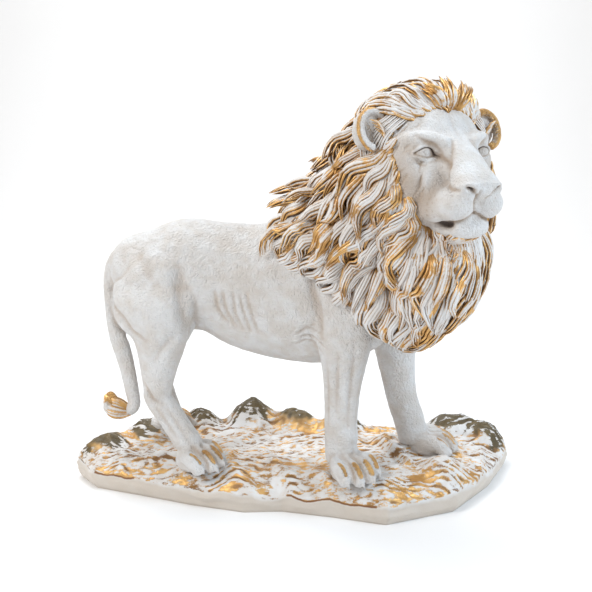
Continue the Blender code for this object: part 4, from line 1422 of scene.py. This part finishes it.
def rock_paint(group):
    """White crests, gold and brown beds, an olive far rim and a smooth warm side band, whose beige is
    darkened with painted shade.
    """
    paint, nodes, shader = painted("rock_white_gold")
    crest, side, dark, leaf, rust = nodes.values(*ROCK_VALUES)
    patch = nodes.speckle(38.0)
    streak = nodes.speckle(420.0, 3.0, 0.65, (0.35, 1.0, 1.0))
    top = nodes.math("MULTIPLY_ADD", crest, 0.58, _2=0.58)
    top = nodes.plus(top, nodes.ramp(streak, 0.3, 0.7, -0.26, 0.26))
    rim = nodes.ramp(dark, 0.35, 0.9, 0.0, 0.36)
    for less in (nodes.ramp(patch, 0.52, 0.66, 0.0, 0.22), nodes.times(leaf, 0.34), rim):
        top = nodes.minus(top, less)
    line = nodes.ramp(nodes.math("ABSOLUTE", nodes.minus(side, 0.3), 0.0), 0.0, 0.2, 0.55, 0.0)
    line = nodes.times(line, rust)
    cover = nodes.math("MAXIMUM", top, nodes.ramp(side, 0.0, 0.5, 0.0, 0.9))
    cover = nodes.minus(cover, nodes.times(line, 1.6))
    stain = nodes.minus(nodes.ramp(crest, 0.2, -0.7, 0.1, 1.0), nodes.times(leaf, 0.9))
    stain = nodes.plus(stain, nodes.ramp(patch, 0.36, 0.5, 0.6, 0.0))
    stain = nodes.math("MAXIMUM", stain, nodes.times(line, 1.8))
    mixed = nodes.brushed(group, cover, stain)
    worn = nodes.plus(dark, nodes.ramp(patch, 0.35, 0.65, 0.25, -0.35))
    olive = nodes.times(nodes.ramp(mixed["Metallic"], 0.0, 0.12), nodes.ramp(worn, 0.2, 0.5, 0.0, 0.9))
    colour = nodes.blend(olive, mixed["Color"], OLIVE)
    # the side band: its own beige, darkened with painted shade
    colour = nodes.blend(nodes.times(nodes.ramp(side, 0.15, 0.7), 0.8), colour, SIDE_BEIGE_AND_SHADE)
    colour = nodes.blend(nodes.times(line, 1.6, True), colour, RUST)
    metal = nodes.times(mixed["Metallic"], nodes.ramp(dark, 0.1, 0.5, 1.0, 0.3))
    height = nodes.plus(mixed["Height"], nodes.times(streak, nodes.ramp(side, 0.0, 0.4, 1.0, 0.0)))
    nodes.feed(shader, Base_Color=colour, Metallic=metal, Roughness=mixed["Roughness"])
    nodes.feed(shader, Normal=nodes.bump(height, 0.5, 0.0008))
    return paint


def floor_paint():
    paint, nodes, shader = painted("floor_paint")
    darker = tuple(c * 0.97 for c in FLOOR_PALE[:3]) + (1.0,)
    nodes.feed(shader, Base_Color=nodes.blend(nodes.speckle(3.0), darker, FLOOR_PALE))
    shader["Roughness"].default_value = FLOOR_ROUGHNESS
    return paint


def piece(name, mesh, paint):
    """A finished piece of the figurine, in its place."""
    mesh.name = name
    made = bpy.data.objects.new(name, mesh)
    if paint is not None:
        mesh.materials.clear()
        mesh.materials.append(paint)
    mesh.polygons.foreach_set("use_smooth", [True] * len(mesh.polygons))
    bpy.context.scene.collection.objects.link(made)
    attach(made, "root")
    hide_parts("lion_figurine")
    return made


def on_the_rock(mesh):
    mesh.transform(LION_PLACE)
    return mesh


def soft_box(name, at, aim, size, power, colour):
    lamp = bpy.data.lights.new(name, "AREA")
    lamp.shape, lamp.size, lamp.energy, lamp.color = "DISK", size, power, colour
    made = bpy.data.objects.new(name, lamp)
    made.location = at
    made.rotation_mode = "QUATERNION"
    made.rotation_quaternion = (Vector(aim) - Vector(at)).to_track_quat("-Z", "Y")
    bpy.context.scene.collection.objects.link(made)


def studio():
    """A pale floor that sweeps up behind the figurine, a pale surround and four soft lights."""
    rows = [(-1.6, 0.0), (0.7, 0.0)]
    for turn in np.linspace(0, math.pi / 2, 13)[1:]:
        rows.append((0.7 + 0.6 * math.sin(turn), 0.6 - 0.6 * math.cos(turn)))
    rows.append((1.3, 2.2))
    points = [(x, y, z) for y, z in rows for x in (-2.5, 2.5)]
    plane = bpy.data.meshes.new("floor")
    plane.from_pydata(points, [], [(2 * k, 2 * k + 1, 2 * k + 3, 2 * k + 2) for k in range(len(rows) - 1)])
    plane.polygons.foreach_set("use_smooth", [True] * len(plane.polygons))
    floor = bpy.data.objects.new("floor", plane)
    floor.data.materials.append(floor_paint())
    bpy.context.scene.collection.objects.link(floor)
    floor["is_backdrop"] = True
    world = bpy.data.worlds.new("surround")
    world.use_nodes = True
    light = world.node_tree.nodes["Background"].inputs
    light[0].default_value, light[1].default_value = SURROUND, SURROUND_STRENGTH
    bpy.context.scene.world = world
    bpy.context.scene.view_settings.view_transform = "Standard"
    for lamp in LAMPS:
        soft_box(*lamp)


def photo_camera():
    """The photograph's own viewpoint."""
    lens = bpy.data.cameras.new("photo_camera")
    lens.sensor_width = 36.0
    lens.lens = 36.0 * CAMERA_FOCAL_PIXELS / CAMERA_PIXELS
    lens.dof.use_dof = False
    camera = bpy.data.objects.new("photo_camera", lens)
    camera.location = CAMERA_AT
    camera.rotation_euler = (math.radians(90 - CAMERA_DOWN), 0, 0)
    bpy.context.scene.collection.objects.link(camera)
    bpy.context.scene.camera = camera


def dress():
    """Makes every piece of the figurine."""
    group = brushed_group()
    fur, rock_finish = fur_paint(group), rock_paint(group)
    hair, dim_hair = hair_paint(group, "mane_hair", 0.3), hair_paint(group, "mane_shade", -0.1)
    gold_hair = hair_paint(group, "tuft_hair", 0.2)
    piece("lion_body", on_the_rock(lion_body()), fur)
    piece("lion_head", on_the_rock(lion_head()), fur)
    mass = Clay()
    mane_mass(mass)
    under = fused(mass, "mane", MANE_VOXEL, MANE_SMOOTHING)
    head(mass, ears=False)
    ground = fused(mass, "ground", MANE_VOXEL, GROUND_SMOOTHING)
    tree = strand_tree()
    for name, strands in mane_strands(ground).items():
        piece("mane_" + name, tubes("mane_" + name, strands, tree, hair, TUBE_SIDES), None)
    piece("tail_tuft", tubes("tail_tuft", tuft_strands(), tree, gold_hair, TUFT_SIDES), None)
    # the ground under the locks, all brown gold: the painted shade between them
    set_values(under, "crown", np.full(len(under.vertices), -0.3))
    piece("mane_under", on_the_rock(under), dim_hair)
    piece("rock_base", rock_base(), rock_finish)


def plain_lists(value):
    """The bounds as lists of numbers that JSON can hold."""
    if hasattr(value, "__len__"):
        return [plain_lists(item) for item in value]
    return float(value)


dress()
studio()
photo_camera()
bounds_at_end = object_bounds()
{"load": plain_lists(bounds_at_load), "finish": plain_lists(bounds_at_end)}
